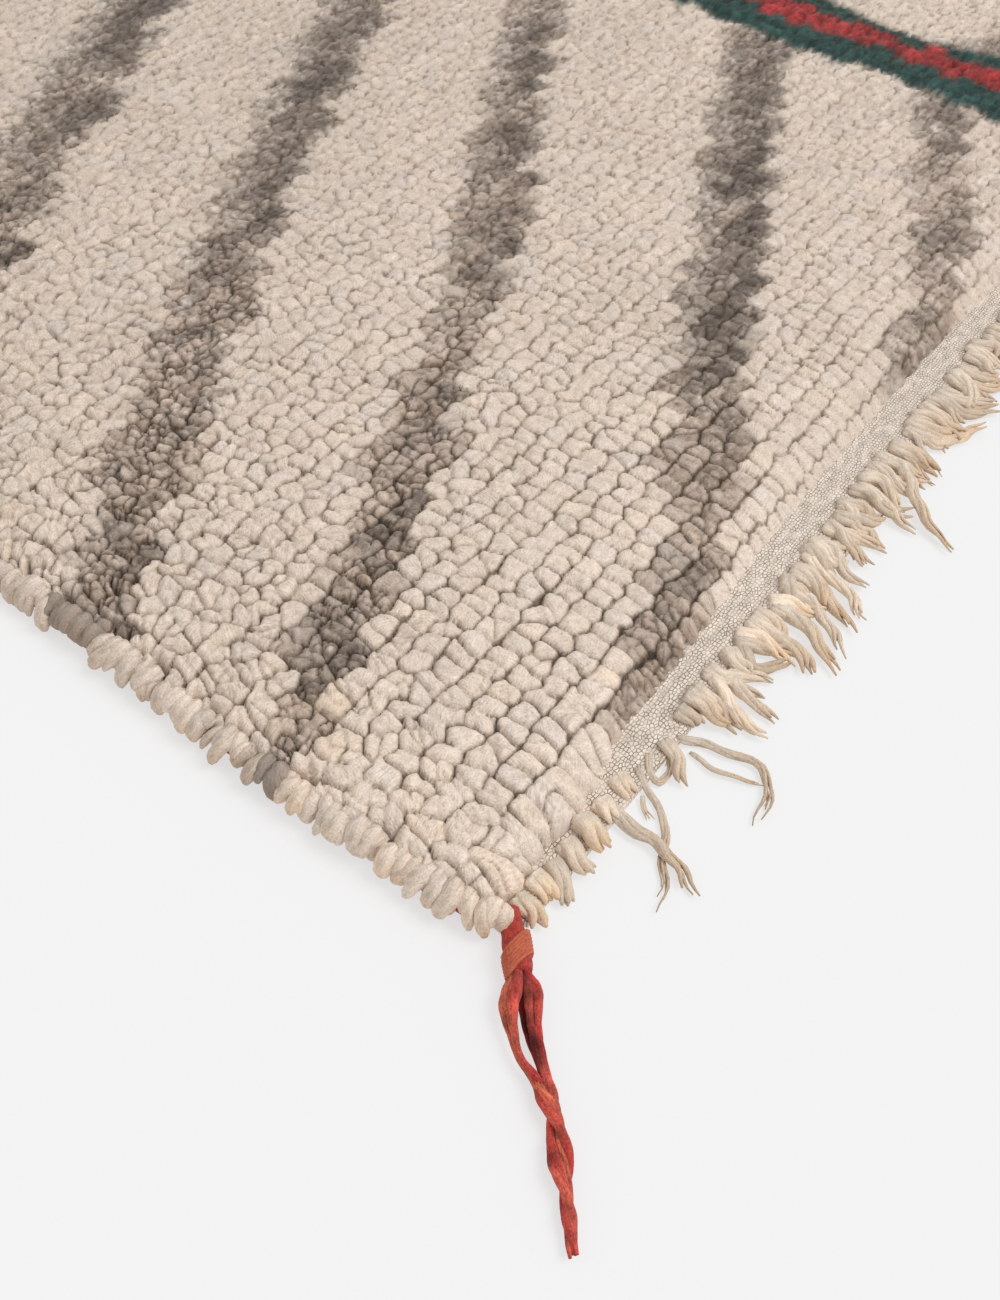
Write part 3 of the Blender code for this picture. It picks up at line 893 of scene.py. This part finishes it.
def pile_surface(place, cell):
    """Height and colour of the pile at places on the plan, and the knot each is part of.
    cell is how far apart the places are."""
    # Where each place lies: each of these is 0 to 1 by its distance from an edge
    from_left = place[:, 0] - rug_low.x
    inward = np.minimum(from_left, WIDTH - from_left)
    to_end = WOVEN_LENGTH / 2 - np.abs(place[:, 1])
    side_gap = np.maximum(place[:, 0] - side_x(place[:, 1], -1), 0)
    end_gap = np.maximum(to_end - end_line(inward), 0)
    far = 1 - fade(np.hypot(from_left, place[:, 1] - rug_low.y), 0.55)
    close = fade(np.hypot(inward, to_end), 0.42)
    corner = fade(inward, 0.060) * fade(to_end, 0.16)
    by_side = fade(inward, 0.22)
    by_end = fade(to_end, 0.20) * (1 - 0.65 * smoothstep(0.24, 0.42, inward))
    thins = smoothstep(0.10, 0.24, inward)
    by_strip = thins * np.exp(-end_gap / 0.010)

    # The lobe that owns each place, and the borders round it
    warped = shifted(shifted(place, 0.0080, 0.0007, 61), 0.0028, 0.00022, 63)
    warped = warped + far[:, None] * (shifted(place, 0.0045, 0.0010, 67) - place)
    row, column = lattice_near(place)
    row = np.clip(row[:, None] + DOWNS, 0, lattice[0] - 1)
    column = np.clip(column[:, None] + OVERS, 0, lattice[1] - 1)
    near = row, column, LOBES[None]
    metric = lobe_xx[near], lobe_xy[near], lobe_yy[near]
    owner, gap, strength = lobe_borders(warped, lobe_middles[near], metric, lobe_number[near])
    spot = np.arange(len(place))
    own = row[spot, owner], column[spot, owner]
    lobe = own + (LOBES[owner],)
    same_row = row == own[0][:, None]
    same_knot = same_row & (column == own[1][:, None])
    grey = greyness[own]

    # Borders between rows are the strongest, and those within a knot the weakest
    soft, side, end = corner[:, None], by_side[:, None], by_end[:, None]
    beside, between = 0.32 - 0.17 * soft, 0.42 + 0.30 * end - 0.45 * soft
    least = np.where(same_knot, 0.0, np.where(same_row, beside, between))
    split = np.clip(0.45 + 0.30 * side + 0.20 * soft + 0.35 * grey[:, None] - 0.25 * end, 0, 0.95)
    most = np.where(same_knot, split, np.where(same_row, 0.98 - 0.10 * end, 1.0 - 0.1 * soft))
    strength = least + (most - least) * strength ** 1.2
    outer = np.where(built[row, column], 1.0, gap).min(1)
    firm = np.where(same_knot, 0.6 * strength, 0.25 + 0.75 * strength)
    valley = deepest(firm * np.clip(1 - gap / LOBE_ROUND, 0, 1) ** 2)
    line = np.maximum(SEAM_LINE, 0.60 * cell)
    faint = np.sqrt(SEAM_LINE / line)
    line = line * (1 + 0.4 * grey)
    broken = 0.36 + 0.64 * smoothstep(-0.8, 0.5, soft_noise(place, 0.0060, 65))
    broken = np.maximum(broken, 0.9 * grey)
    # Painted shade: thin dark lines in the seams between lobes, and darker pits where seams cross
    dark = (smoothstep(0.20, 0.75, strength) * fade(gap, line[:, None])).max(1)
    crossing = np.clip((strength * fade(gap, 0.0012)).sum(1) - 0.85, 0, 1)

    # Lumps and folds in the lobes, and the lie of the wool further off
    lumpy = grey * fade(inward, 0.28)
    lumpy = np.clip(lumpy + 0.33 * by_side * smoothstep(0.10, 0.22, to_end), 0, 1)
    lump = lump_gap(warped, LUMP_PITCH, 85)
    # Painted shade along the borders between small lumps
    lump_dark = lumpy * smoothstep(-0.7, 0.5, soft_noise(place, 0.0050, 86))
    lump_dark = lump_dark * fade(lump, 1.5 * line)
    lump_dip = lumpy * np.clip(1 - lump / LUMP_ROUND, 0, 1) ** 2
    fold_place = shifted(warped, 0.0060, 0.0016, 77)
    fold = 1 - np.clip(np.abs(soft_noise(fold_place, FOLD_PITCH, 79)) / 0.45, 0, 1)
    fold = fold ** 2 * smoothstep(-0.4, 0.7, soft_noise(place, 0.011, 81) + 0.8 * corner)
    drawn_out = place * (0.30, 1.0)
    strokes = soft_noise(drawn_out, 0.0030, 83) + 0.6 * soft_noise(drawn_out, 0.0015, 84)

    # Height: down to the side edge and in two slopes to the end, then the relief
    height = PILE_TOP + knot_height[own] - SIDE_DROP * np.exp(-side_gap / 0.005)
    height -= 0.0080 * thins * fade(end_gap, 0.024)
    end_drop, end_reach = END_DROP - 0.0080 * thins, 0.0090 - 0.0030 * thins
    height -= end_drop * np.exp(-(end_gap / end_reach) ** 1.4)
    height -= 0.0045 * smoothstep(0.0, 0.0015, end_line(inward) - to_end)
    height -= 0.010 * np.clip(1 - outer / 0.005, 0, 1) ** 2
    relief = (0.48 + 0.62 * close + 0.45 * fade(inward, 0.16)) * (1 - 0.55 * by_strip)
    lean = ((place - lobe_middles[lobe]) * lobe_tilt[lobe]).sum(-1)
    height += relief * (lean - LOBE_DEPTH * valley - 0.0006 * dark - FOLD_DEPTH * fold
                        - LUMP_DEPTH * lump_dip)
    height += 0.00020 * soft_noise(place, 0.0024, 69) + 0.00008 * soft_noise(place, 0.0012, 71)
    height += 0.00070 * far * strokes
    height = np.clip(height, 0.0012, PILE_TOP + 0.001)

    # Shade: mottled wool, which is its own colour, and painted shade: darker in the seams, where
    # seams cross, in the valleys, folds and lumps, with the painted shade tinted warm
    speckle = soft_noise(place, 0.0013, 73) + soft_noise(place, 0.0030, 75)
    shade = 1 + mottle[own] * speckle
    crisp = close * (1 - 0.40 * corner) * (1 - 0.6 * by_strip)
    shade *= 1 - np.minimum(0.24 + 0.78 * crisp + 0.25 * grey, 0.93) * faint * dark * broken
    shade *= (1 - 0.12 * fold) * (1 - (0.10 + 0.25 * grey * close) * valley)
    shade *= 1 + np.clip(0.12 * grey * lobe_light[lobe], -0.25, 0.25)
    shade *= 1 + far * np.where(is_dark[own], 0.20, 0.060) * strokes
    shade *= 1 - (0.38 + 0.27 * crisp) * crossing
    shade *= (1 - (0.42 + 0.38 * grey) * lump_dark) * (1 - 0.15 * lump_dip)
    shade = np.clip(shade, 0.12, 1.6)[:, None] ** np.array((1.0, 1.09, 1.19))
    blend = fade(gap, (0.0010 + 0.0014 * far)[:, None]) * (strength < 0.9)
    mixed = colors[own] + (blend[..., None] * colors[row, column]).sum(1)
    mixed /= 1 + blend.sum(1)[:, None]
    return height, mixed * shade, own


def view_places(steps_across, steps_up):
    """Where lines of sight through a regular net over the camera's view meet the pile."""
    u = np.linspace(-NET_MARGIN, NET_MARGIN, steps_across)[None, :, None] * FIELD * NARROW
    v = np.linspace(-NET_MARGIN, NET_MARGIN, steps_up)[:, None, None] * FIELD
    sight = np.array(ahead) + u * np.array(right) + v * np.array(up)
    reach = (camera.location.z - PILE_TOP + 0.002) / -sight[..., 2]
    return np.array(camera.location)[:2] + sight[..., :2] * reach[..., None]


net = view_places(GRID[0] + 1, GRID[1] + 1)
cells = np.linalg.norm(np.gradient(net, axis=1), axis=-1)
flat_net, flat_cells = net.reshape(-1, 2), cells.ravel()
AT_ONCE = 30000           # places that are worked out together
fields = [pile_surface(flat_net[start:start + AT_ONCE], flat_cells[start:start + AT_ONCE])
          for start in range(0, len(flat_net), AT_ONCE)]
net_height = np.concatenate([each[0] for each in fields])
net_color = np.concatenate([each[1] for each in fields])
net_own = tuple(np.concatenate([each[2][axis] for each in fields]) for axis in (0, 1))
net_lay = rng.uniform(0, math.pi, size=lattice)
cell_first = (np.arange(GRID[1])[:, None] * (GRID[0] + 1) + np.arange(GRID[0])).ravel()
cell_corners = np.array((0, 1, GRID[0] + 2, GRID[0] + 1))
net_quads = cell_first[:, None] + cell_corners


def surface_part(chosen):
    """The net's cells that are part of the chosen knots, as one part."""
    row, column = (each[net_quads[:, 0]] for each in net_own)
    kept = chosen[row, column]
    quads, row, column = net_quads[kept], row[kept], column[kept]
    used, renumbered = np.unique(quads, return_inverse=True)
    points = np.concatenate([flat_net[used], net_height[used, None]], axis=1)
    local = flat_net[quads] - knot_middles[row, column][:, None]
    # Each knot's fibres run their own way, and start at their own place in the streaks
    lay = net_lay[row, column][:, None]
    along = local[..., 0] * np.cos(lay) + local[..., 1] * np.sin(lay)
    aside = local[..., 1] * np.cos(lay) - local[..., 0] * np.sin(lay)
    fibre = np.stack([along, aside], -1) + 0.37 * (knot_number[row, column] % 499)[:, None, None]
    return {"points": points, "quads": renumbered.reshape(-1, 4), "colors": net_color[used],
            "fibres": fibre.reshape(-1, 2)}


PILE_FOOT = 0.0036        # the knots' feet lie in the ground weave
KNOT_REACH = 0.0125       # a plain knot's outline is never further out than this
KNOT_SIDES = 4
# Each ring: share of the outline, share of the height, how near a seam (near a seam the wool
# material paints shade, so the knots' feet are darker)
KNOT_RINGS = [(1.16, 0.70, 1.035), (0.95, 0.95, 0.95)]


def knots(chosen):
    """All the chosen knots as one part, each a simple cushion."""
    angle = (np.arange(KNOT_SIDES) + 0.5) * 2 * math.pi / KNOT_SIDES
    directions = np.stack([np.cos(angle), np.sin(angle)], -1)
    outline = np.minimum(pressed_outline(directions, chosen), KNOT_REACH)
    tall = (PILE_TOP - PILE_FOOT + knot_height[chosen] - fall[chosen])[:, None]
    points, seam = [], []
    for out, rise, near_seam in KNOT_RINGS:
        local = outline[..., None] * directions * out
        height = PILE_FOOT + tall * rise + (local * knot_tilt[chosen][:, None]).sum(-1)
        height = height + slope[chosen][:, None] * local[..., 1]
        plan = local + knot_middles[chosen][:, None]
        points.append(np.concatenate([plan, height[..., None]], -1))
        seam.append(np.full(height.shape, near_seam))
    size = len(KNOT_RINGS) * KNOT_SIDES
    points, seam = (np.stack(each, 1) for each in (points, seam))
    top = size - KNOT_SIDES + np.arange(KNOT_SIDES)
    quads = np.concatenate([ring_quads(len(KNOT_RINGS), KNOT_SIDES), top[None]])
    shift = np.arange(len(outline))[:, None, None] * size
    color = np.repeat(colors[chosen][:, None, :], size, axis=1)
    points = points.reshape(-1, 3)
    return {"points": points, "quads": (quads + shift).reshape(-1, 4),
            "colors": color.reshape(-1, 3), "seams": seam.ravel(), "fibres": points[:, :2]}


# The plain knots come down a little at the side edges, and slope down to both ends
edge_gap = np.minimum(xs - side_x(ys, -1), side_x(ys, 1) - xs)
end_rows = np.minimum(row_index, rows - 1 - row_index)
end_share = np.where(end_rows <= 0, 1.0, np.where(end_rows == 1, 0.25, 0.0))
fall = 0.0030 * np.exp(-np.maximum(edge_gap, 0) / 0.006) + 0.0042 * end_share
slope = 0.40 * end_share * np.where(row_index < rows / 2, 1.0, -1.0)

# The fine surface is cut in three by distance from the camera, and the rest by rows
FIRST_CUT = 0.72
SECOND_CUT = 0.98
pile_wool = wool("pile_wool", 0.18, 1.0)
thirds = np.linspace(0, rows, 4)
away = np.linalg.norm(offset, axis=-1)
pile_parts = {
    "pile_at_tassel": surface_part(seen & (away < FIRST_CUT)),
    "pile_inward": surface_part(seen & (away >= FIRST_CUT) & (away < SECOND_CUT)),
    "pile_at_line": surface_part(seen & (away >= SECOND_CUT)),
    "pile_near_end": knots(plain & (row_index < thirds[1])),
    "pile_middle": knots(plain & (row_index >= thirds[1]) & (row_index < thirds[2])),
    "pile_far_end": knots(plain & (row_index >= thirds[2])),
}
piles = []
for name, part in pile_parts.items():
    piles.append(joined_piece(name, [part], pile_wool))
    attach(piles[-1], "root")

# Side tufts
# The knots nearest a side edge are left long.  They hang out over the edge as plump
# locks of wool that end near the floor and hide most of the side cord.

LOCK_POINTS = 8
# Layers of locks: pitch = how far apart they are along the edge, depth = how far in
# they start, tip_height and tip_out = where they end
FINE_LAYERS = [
    {"pitch": 0.0062, "depth": 0.0050, "tip_height": 0.0066, "tip_out": 0.0012,
     "thick": 0.0042, "sides": 13, "seed": 31},
    {"pitch": 0.0056, "depth": 0.0035, "tip_height": 0.0026, "tip_out": 0.0026,
     "thick": 0.0037, "sides": 13, "seed": 32},
]
PLAIN_LAYER = {"pitch": 0.0085, "depth": 0.009, "tip_height": 0.0045, "tip_out": 0.0030,
               "thick": 0.0046, "sides": 5, "seed": 33}
FINE_UNTIL = rug_low.y + 0.75
NO_LOCKS = 0.006          # the last bit of an edge has none
LOCK_START = 0.0060       # the locks start this far below the pile's top


def side_locks(side, from_y, to_y, pitch, depth, tip_height, tip_out, thick, sides, seed):
    """One layer of locks over part of a side edge."""
    draw = np.random.default_rng(seed)
    count = int((to_y - from_y) / pitch)
    y = from_y + pitch * (np.arange(count) + 0.5 + draw.uniform(-0.35, 0.35, count))
    swing = np.convolve(draw.normal(size=count + 4), np.ones(5) / 5, "valid") * 1.6
    swing = 0.0052 * swing + 0.0020 * draw.normal(size=count)
    reach = tip_out + 0.0018 * draw.normal(size=count)
    start_height = PILE_TOP - LOCK_START - 0.25 * (0.005 - depth)
    start_height = start_height + 0.0008 * draw.normal(size=count)
    end_height = np.clip(tip_height + 0.0012 * draw.normal(size=count), 0.55 * thick, None)
    t = np.linspace(0, 1, LOCK_POINTS)
    edge = side_x(y, side)
    out = -depth + (depth + reach)[:, None] * np.sin(0.5 * math.pi * t) ** 0.85
    drop = t ** 2.3
    height = start_height[:, None] * (1 - drop) + end_height[:, None] * drop
    along = y[:, None] + swing[:, None] * t ** 1.4
    path = np.stack([edge[:, None] + side * out, along, height], -1)
    size = thick * np.exp(0.20 * draw.normal(size=count))
    taper = np.interp(t, [0, 0.25, 0.7, 0.92, 1], [0.80, 1.0, 1.0, 0.86, 0.46])
    column = SPARE_COLUMNS + 1 if side < 0 else lattice[1] - SPARE_COLUMNS - 2
    row_heights = ys[SPARE_ROWS:-SPARE_ROWS, column]
    row = np.abs(row_heights - y[:, None]).argmin(1) + SPARE_ROWS
    # Grey locks are made darker: painted shade standing in for the shaded seams of the grey pile
    own = colors[row, column] * (1 - 0.30 * greyness[row, column])[:, None]
    own = own * np.exp(0.05 * draw.normal(size=(count, 1)))
    # The tips are tan and a little darker: partly their own colour, partly painted shade
    tip = own * (1 - draw.uniform(0.2, 1.5, size=(count, 1)) * (0.07, 0.17, 0.29))
    shade_mix = (np.clip(t * 1.5 - 0.45, 0, 1) * 0.75)[None, :, None]
    return yarns(path, size[:, None] * taper, own[:, None] * (1 - shade_mix) + tip[:, None] * shade_mix,
                 sides=sides, plies=4, twist=0.07, ply_depth=0.24, flat=0.85)


near_y, far_y = rug_low.y + NO_LOCKS, rug_high.y - NO_LOCKS
for side, name in ((-1, "side_tufts_left"), (1, "side_tufts_right")):
    fine_until = FINE_UNTIL if side < 0 else near_y
    layers = [side_locks(side, near_y, fine_until, **layer) for layer in FINE_LAYERS if side < 0]
    layers.append(side_locks(side, fine_until, far_y, **PLAIN_LAYER))
    tufts = joined_piece(name, layers, pile_wool)
    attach(tufts, "root")

# Side cords
# A cord of two plies of red wool is sewn along each side edge, under the overhanging
# pile.  The left one ends at the corner tassel.

CORD_RADIUS = 0.0027
CORD_STEP = 0.008
CORD_END = 0.005          # the left cord stops here, at the tassel

for side, name in ((-1, "side_cord_left"), (1, "side_cord_right")):
    low_y = rug_low.y + (CORD_END if side < 0 else 0.001)
    y = np.linspace(low_y, rug_high.y - 0.001, int((rug_high.y - low_y) / CORD_STEP))
    x = side_x(y, side) - side * SIDE_REBATE / 2
    path = np.stack([x, y, np.full_like(y, CORD_RADIUS)], -1)
    part = yarns([path], np.full((1, len(y)), CORD_RADIUS), [DYES["red"]], sides=8, plies=2,
                 twist=0.03, ply_depth=0.25)
    cord = joined_piece(name + "_yarn", [part], wool(name + "_wool", 0.2, 0.8))
    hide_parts(name)
    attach(cord, "root")

# Fringes
# The warps of the ground weave run on past both flat-woven ends as locks and strands of
# loosely twisted wool, which lie over the edge and on the floor.

# Strands near the tassel, listed one by one: wide = thickness in millimetres; path = places
# along it in centimetres, along the edge from the corner and up from the edge
NEAR_STRANDS = [
    {"wide": 11.7, "path": [(1.9, 1.3), (1.7, 0.4), (1.4, -0.5)]},
    {"wide": 11.7, "path": [(3.0, 1.4), (2.9, 0.6), (2.5, -0.2)]},
    {"wide": 9.1, "path": [(4.0, 1.2), (3.6, 0.3), (2.9, -0.7)]},
    {"wide": 12.3, "path": [(5.1, 1.3), (4.7, 0.3), (4.6, -0.8)]},
    {"wide": 14.3, "path": [(6.4, 1.4), (6.0, 0.3), (5.9, -0.7)]},
    {"wide": 7.2, "path": [(7.8, 1.2), (7.4, -0.3), (7.4, -1.8), (7.0, -3.2), (6.2, -4.3)]},
    {"wide": 11.7, "path": [(7.6, 1.3), (7.4, 0.7), (7.2, 0.2)]},
    {"wide": 11.1, "path": [(9.1, 1.4), (8.8, 0.6), (8.6, -0.1)]},
    {"wide": 4.1, "path": [(10.0, 1.0), (9.4, -0.4), (8.5, -1.7), (7.2, -2.3), (6.2, -3.0),
                           (4.8, -3.5)]},
    {"wide": 2.8, "path": [(9.1, 0.1), (8.6, -0.6), (8.3, -1.1)]},
    {"wide": 3.9, "path": [(10.9, 1.0), (10.1, 0.3), (10.1, -0.5), (10.9, -0.4), (11.3, 0.3),
                           (10.6, 0.4)]},
    {"wide": 7.8, "path": [(11.9, 0.8), (11.4, -0.4), (10.5, -1.3)]},
    {"wide": 5.1, "path": [(12.4, 0.5), (12.9, -0.7), (13.3, -2.2), (13.4, -3.4), (12.5, -4.2),
                           (10.7, -4.6)]},
    {"wide": 2.8, "path": [(12.3, -0.6), (12.1, -1.9), (12.4, -3.1), (12.9, -3.8)]},
    {"wide": 11.7, "path": [(13.6, 1.2), (13.6, 0.4), (13.5, -0.3)]},
    {"wide": 11.7, "path": [(15.1, 1.2), (14.9, 0.3), (14.8, -0.6)]},
    {"wide": 7.8, "path": [(16.2, 1.0), (15.6, -0.6), (14.9, -1.9), (15.1, -2.8)]},
    {"wide": 7.8, "path": [(17.1, 0.6), (16.3, -0.9), (16.2, -1.9), (15.9, -2.7)]},
    {"wide": 7.8, "path": [(18.7, 0.9), (18.0, -0.4), (18.5, -1.1), (19.7, -1.4)]},
    {"wide": 8.5, "path": [(20.4, 1.0), (20.1, -0.5), (20.2, -1.5), (19.3, -2.6)]},
    {"wide": 9.1, "path": [(21.7, 1.0), (21.8, -0.8), (20.9, -2.4), (20.1, -3.6)]},
    {"wide": 7.8, "path": [(23.1, 1.0), (23.2, -0.5), (22.3, -2.1), (21.1, -3.5)]},
    {"wide": 8.5, "path": [(24.2, 1.3), (24.2, -0.4), (23.6, -1.8), (22.7, -3.0)]},
    {"wide": 8.5, "path": [(25.8, 1.4), (25.2, -0.4), (25.0, -1.6), (23.8, -3.0)]},
    {"wide": 8.5, "path": [(27.1, 1.5), (26.8, -0.1), (25.9, -1.3), (26.0, -2.3)]},
    {"wide": 8.5, "path": [(28.6, 1.5), (27.8, -0.2), (27.4, -1.2), (27.2, -1.8)]},
    {"wide": 9.1, "path": [(30.5, 1.6), (29.1, 0.2), (29.3, -0.8), (28.7, -1.6)]},
    {"wide": 9.1, "path": [(32.0, 1.6), (31.7, 0.2), (31.4, -1.2), (30.7, -2.4)]},
    {"wide": 8.5, "path": [(34.3, 1.6), (34.7, -0.0), (33.1, -1.4), (31.8, -2.8), (31.0, -4.5)]},
    {"wide": 5.9, "path": [(35.9, 1.6), (35.7, -0.1), (34.9, -1.7)]},
    {"wide": 4.6, "path": [(37.9, 1.6), (36.7, -0.5), (35.8, -1.8)]},
    {"wide": 8.5, "path": [(38.8, 1.7), (37.8, 0.1), (38.9, -1.1), (41.3, -1.8)]},
    {"wide": 9.1, "path": [(41.4, 1.7), (41.1, 0.1), (41.7, -1.1), (43.1, -1.9)]},
    {"wide": 9.1, "path": [(44.1, 1.8), (43.6, 0.6), (44.1, -0.7), (45.3, -1.4)]},
    {"wide": 9.1, "path": [(46.9, 2.0), (46.8, 1.0), (46.6, -0.2), (47.1, -1.2)]},
]
NEAR_STRANDS_END = 0.480  # how far along the edge they reach
FRINGE_COLOR = np.array((0.86, 0.725, 0.590))
FRINGE_TIP = np.array((0.80, 0.585, 0.400))
FRINGE_REST = 0.0040      # height of a strand's middle on the flat-woven end
FRINGE_FLAT = 0.85        # thickness of its yarns from above, as a share of their width


def strand_paths(points, wide, count, draw, yarn_count):
    """Paths of the yarns of a strand, from points on the plan, up over the edge and
    down on the floor.  A point is how far along the edge it is, and how far inside."""
    route = smooth_route(points, 0.0006)
    step = np.linalg.norm(np.diff(route, axis=0), axis=1)
    along = np.concatenate([[0], np.cumsum(step)])
    start = 2 * math.pi * draw.random()
    length = draw.uniform(0.014, 0.024), draw.uniform(0.050, 0.110)
    lift = 0.0010 * abs(draw.normal())
    loose = 0.0016 * draw.random()
    for yarn in range(yarn_count):
        reach = along[-1] * (1.0 if yarn == 0 else draw.uniform(0.80, 1.0))
        place = np.linspace(0, reach, count)
        middle = np.stack([np.interp(place, along, route[:, axis]) for axis in (0, 1)], -1)
        forward = unit(np.gradient(middle, axis=0))
        sideways = np.stack([-forward[:, 1], forward[:, 0]], -1)
        wave = 0.0006 * np.sin(2 * math.pi * place / length[0] + start) * np.minimum(place / 0.01, 1)
        turn = 2 * math.pi * (place / length[1] + yarn / yarn_count) + start
        apart = np.cos(turn) * (0.19 * wide + loose * (place / along[-1]) ** 3)
        flat = middle + (wave + apart)[:, None] * sideways
        height = 0.36 * wide + lift * np.sin(math.pi * place / reach) + 0.12 * wide * np.sin(turn)
        height = height + (FRINGE_REST - 0.3 * wide) * smoothstep(-0.006, 0.004, flat[:, 1])
        yield np.concatenate([flat, height[:, None]], axis=1)


def fringe_part(strands, end, seed, sides, count, yarn_count):
    """Many strands at one end of the rug, as one part: end is -1 or 1.  Each is made of
    yarn_count yarns of count points."""
    draw = np.random.default_rng(seed)
    paths = np.array([path for row in strands
                      for path in strand_paths(row["path"], row["wide"], count, draw, yarn_count)])
    share = np.linspace(0, 1, count)
    taper = np.interp(share, [0, 0.05, 0.35, 0.8, 1], [0.45, 1.0, 0.95, 0.62, 0.18])
    wide = np.repeat([row["wide"] for row in strands], yarn_count)
    wide = wide * np.exp(0.14 * draw.normal(size=len(paths))) * (0.56 / yarn_count ** 0.5)
    paths[..., 0] += rug_low.x
    paths[..., 1] = end * (WOVEN_LENGTH / 2 - paths[..., 1])
    if end > 0:
        paths[..., 0] *= -1
    share = np.clip(1.15 * share - 0.15, 0, 1)[None, :, None]
    light = np.repeat(np.exp(0.09 * draw.normal(size=(len(strands), 1, 1))), yarn_count, axis=0)
    warm = np.repeat(draw.uniform(-0.5, 1.6, size=(len(strands), 1, 1)), yarn_count, axis=0)
    share = share * np.clip(0.5 + 0.5 * warm, 0.2, 1.3)
    color = light * (FRINGE_COLOR * (1 - share) + FRINGE_TIP * share)
    radii = wide[:, None] * taper
    paths[..., 2] = np.maximum(paths[..., 2], FRINGE_FLAT * radii + 0.0002)
    return yarns(paths, radii, color, sides=sides, plies=2, twist=0.034, ply_depth=0.13,
                 flat=FRINGE_FLAT)


def fringe_shift(x):
    """How much further in the drawn strands start, a little way from each corner."""
    inward = min(x, WIDTH - x)
    return float(0.004 * (smoothstep(0.22, 0.33, inward) - smoothstep(0.44, 0.70, inward)))


def drawn_strands(from_x, to_x, pitch, lengths, widths, seed):
    """Strands laid at random, much like those listed one by one."""
    draw = np.random.default_rng(seed)
    made = []
    for index in range(int((to_x - from_x) / pitch)):
        x = from_x + pitch * (index + draw.uniform(0.1, 0.9))
        base = 0.0085 + 0.003 * draw.random() + fringe_shift(x)
        length = draw.choice(lengths) * draw.uniform(0.8, 1.2)
        swing = draw.normal() * 0.008
        made.append({"wide": draw.uniform(*widths), "path": [
            (x, base), (x + 0.4 * swing + 0.003 * draw.normal(), 0.2 * base),
            (x + 0.9 * swing, -0.55 * length), (x + 1.0 * swing + 0.005 * draw.normal(), -length)]})
    return made


HEADS_OUT = 0.0035        # what lies on the flat-woven end is moved out this far
FRINGE_INSET = 0.014      # no strand is drawn this near a corner
UNDER_FROM = 0.140        # strands are drawn under the listed ones from here on
LONG_STRANDS = {"pitch": 0.0115, "lengths": (0.014, 0.024, 0.024, 0.034), "widths": (0.006, 0.010)}
UNDER_STRANDS = {"pitch": 0.0085, "lengths": (0.006, 0.011, 0.016), "widths": (0.008, 0.012)}
FINE_YARNS = {"sides": 6, "count": 18, "yarn_count": 4}
PLAIN_YARNS = {"sides": 5, "count": 9, "yarn_count": 2}
last_x = WIDTH - FRINGE_INSET
laid = []
for row in NEAR_STRANDS:
    path = [(x / 100, y / 100 - HEADS_OUT * (y > 0)) for x, y in row["path"]]
    laid.append({"wide": row["wide"] / 1000, "path": path})
laid += drawn_strands(UNDER_FROM, NEAR_STRANDS_END, seed=45, **UNDER_STRANDS)
drawn = drawn_strands(NEAR_STRANDS_END, last_x, seed=41, **LONG_STRANDS)
drawn += drawn_strands(NEAR_STRANDS_END, last_x, seed=46, **UNDER_STRANDS)
far_drawn = drawn_strands(FRINGE_INSET, last_x, seed=42, **LONG_STRANDS)
far_drawn += drawn_strands(FRINGE_INSET, last_x, seed=47, **UNDER_STRANDS)
fringe_wool = wool("fringe_wool", 0.16, 0.9)
fringe_parts = {
    "fringe_near": [fringe_part(laid, -1, seed=43, **FINE_YARNS),
                    fringe_part(drawn, -1, seed=44, **PLAIN_YARNS)],
    "fringe_far": [fringe_part(far_drawn, 1, seed=48, **PLAIN_YARNS)],
}
for name, parts in fringe_parts.items():
    fringe = joined_piece(name + "_strands", parts, fringe_wool)
    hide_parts(name)
    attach(fringe, "root")

# Floor and light
# A plain pale floor that glows a little, a soft sky all round, and one large soft lamp
# high up beyond the rug's near end.

bpy.ops.mesh.primitive_plane_add(size=12, location=(0, 0, 0))
floor = bpy.context.object
floor.name = "floor"
paint = bpy.data.materials.new("pale_floor")
paint.use_nodes = True
floor_shader = paint.node_tree.nodes["Principled BSDF"]
floor_shader.inputs["Base Color"].default_value = (0.28, 0.28, 0.28, 1)
floor_shader.inputs["Emission Color"].default_value = (1, 1, 1, 1)
floor_shader.inputs["Emission Strength"].default_value = 0.62
floor_shader.inputs["Roughness"].default_value = 1.0
floor_shader.inputs["Specular IOR Level"].default_value = 0.0
floor.data.materials.append(paint)

sky = bpy.context.scene.world or bpy.data.worlds.new("sky")
bpy.context.scene.world = sky
sky.use_nodes = True
sky.node_tree.nodes["Background"].inputs["Color"].default_value = (1.0, 1.0, 1.0, 1)
sky.node_tree.nodes["Background"].inputs["Strength"].default_value = 0.64
bpy.ops.object.light_add(type="SUN", rotation=(math.radians(30), math.radians(18), 0))
lamp = bpy.context.object
lamp.data.energy = 1.4
lamp.data.angle = math.radians(35)
bpy.context.scene.view_settings.view_transform = "Standard"
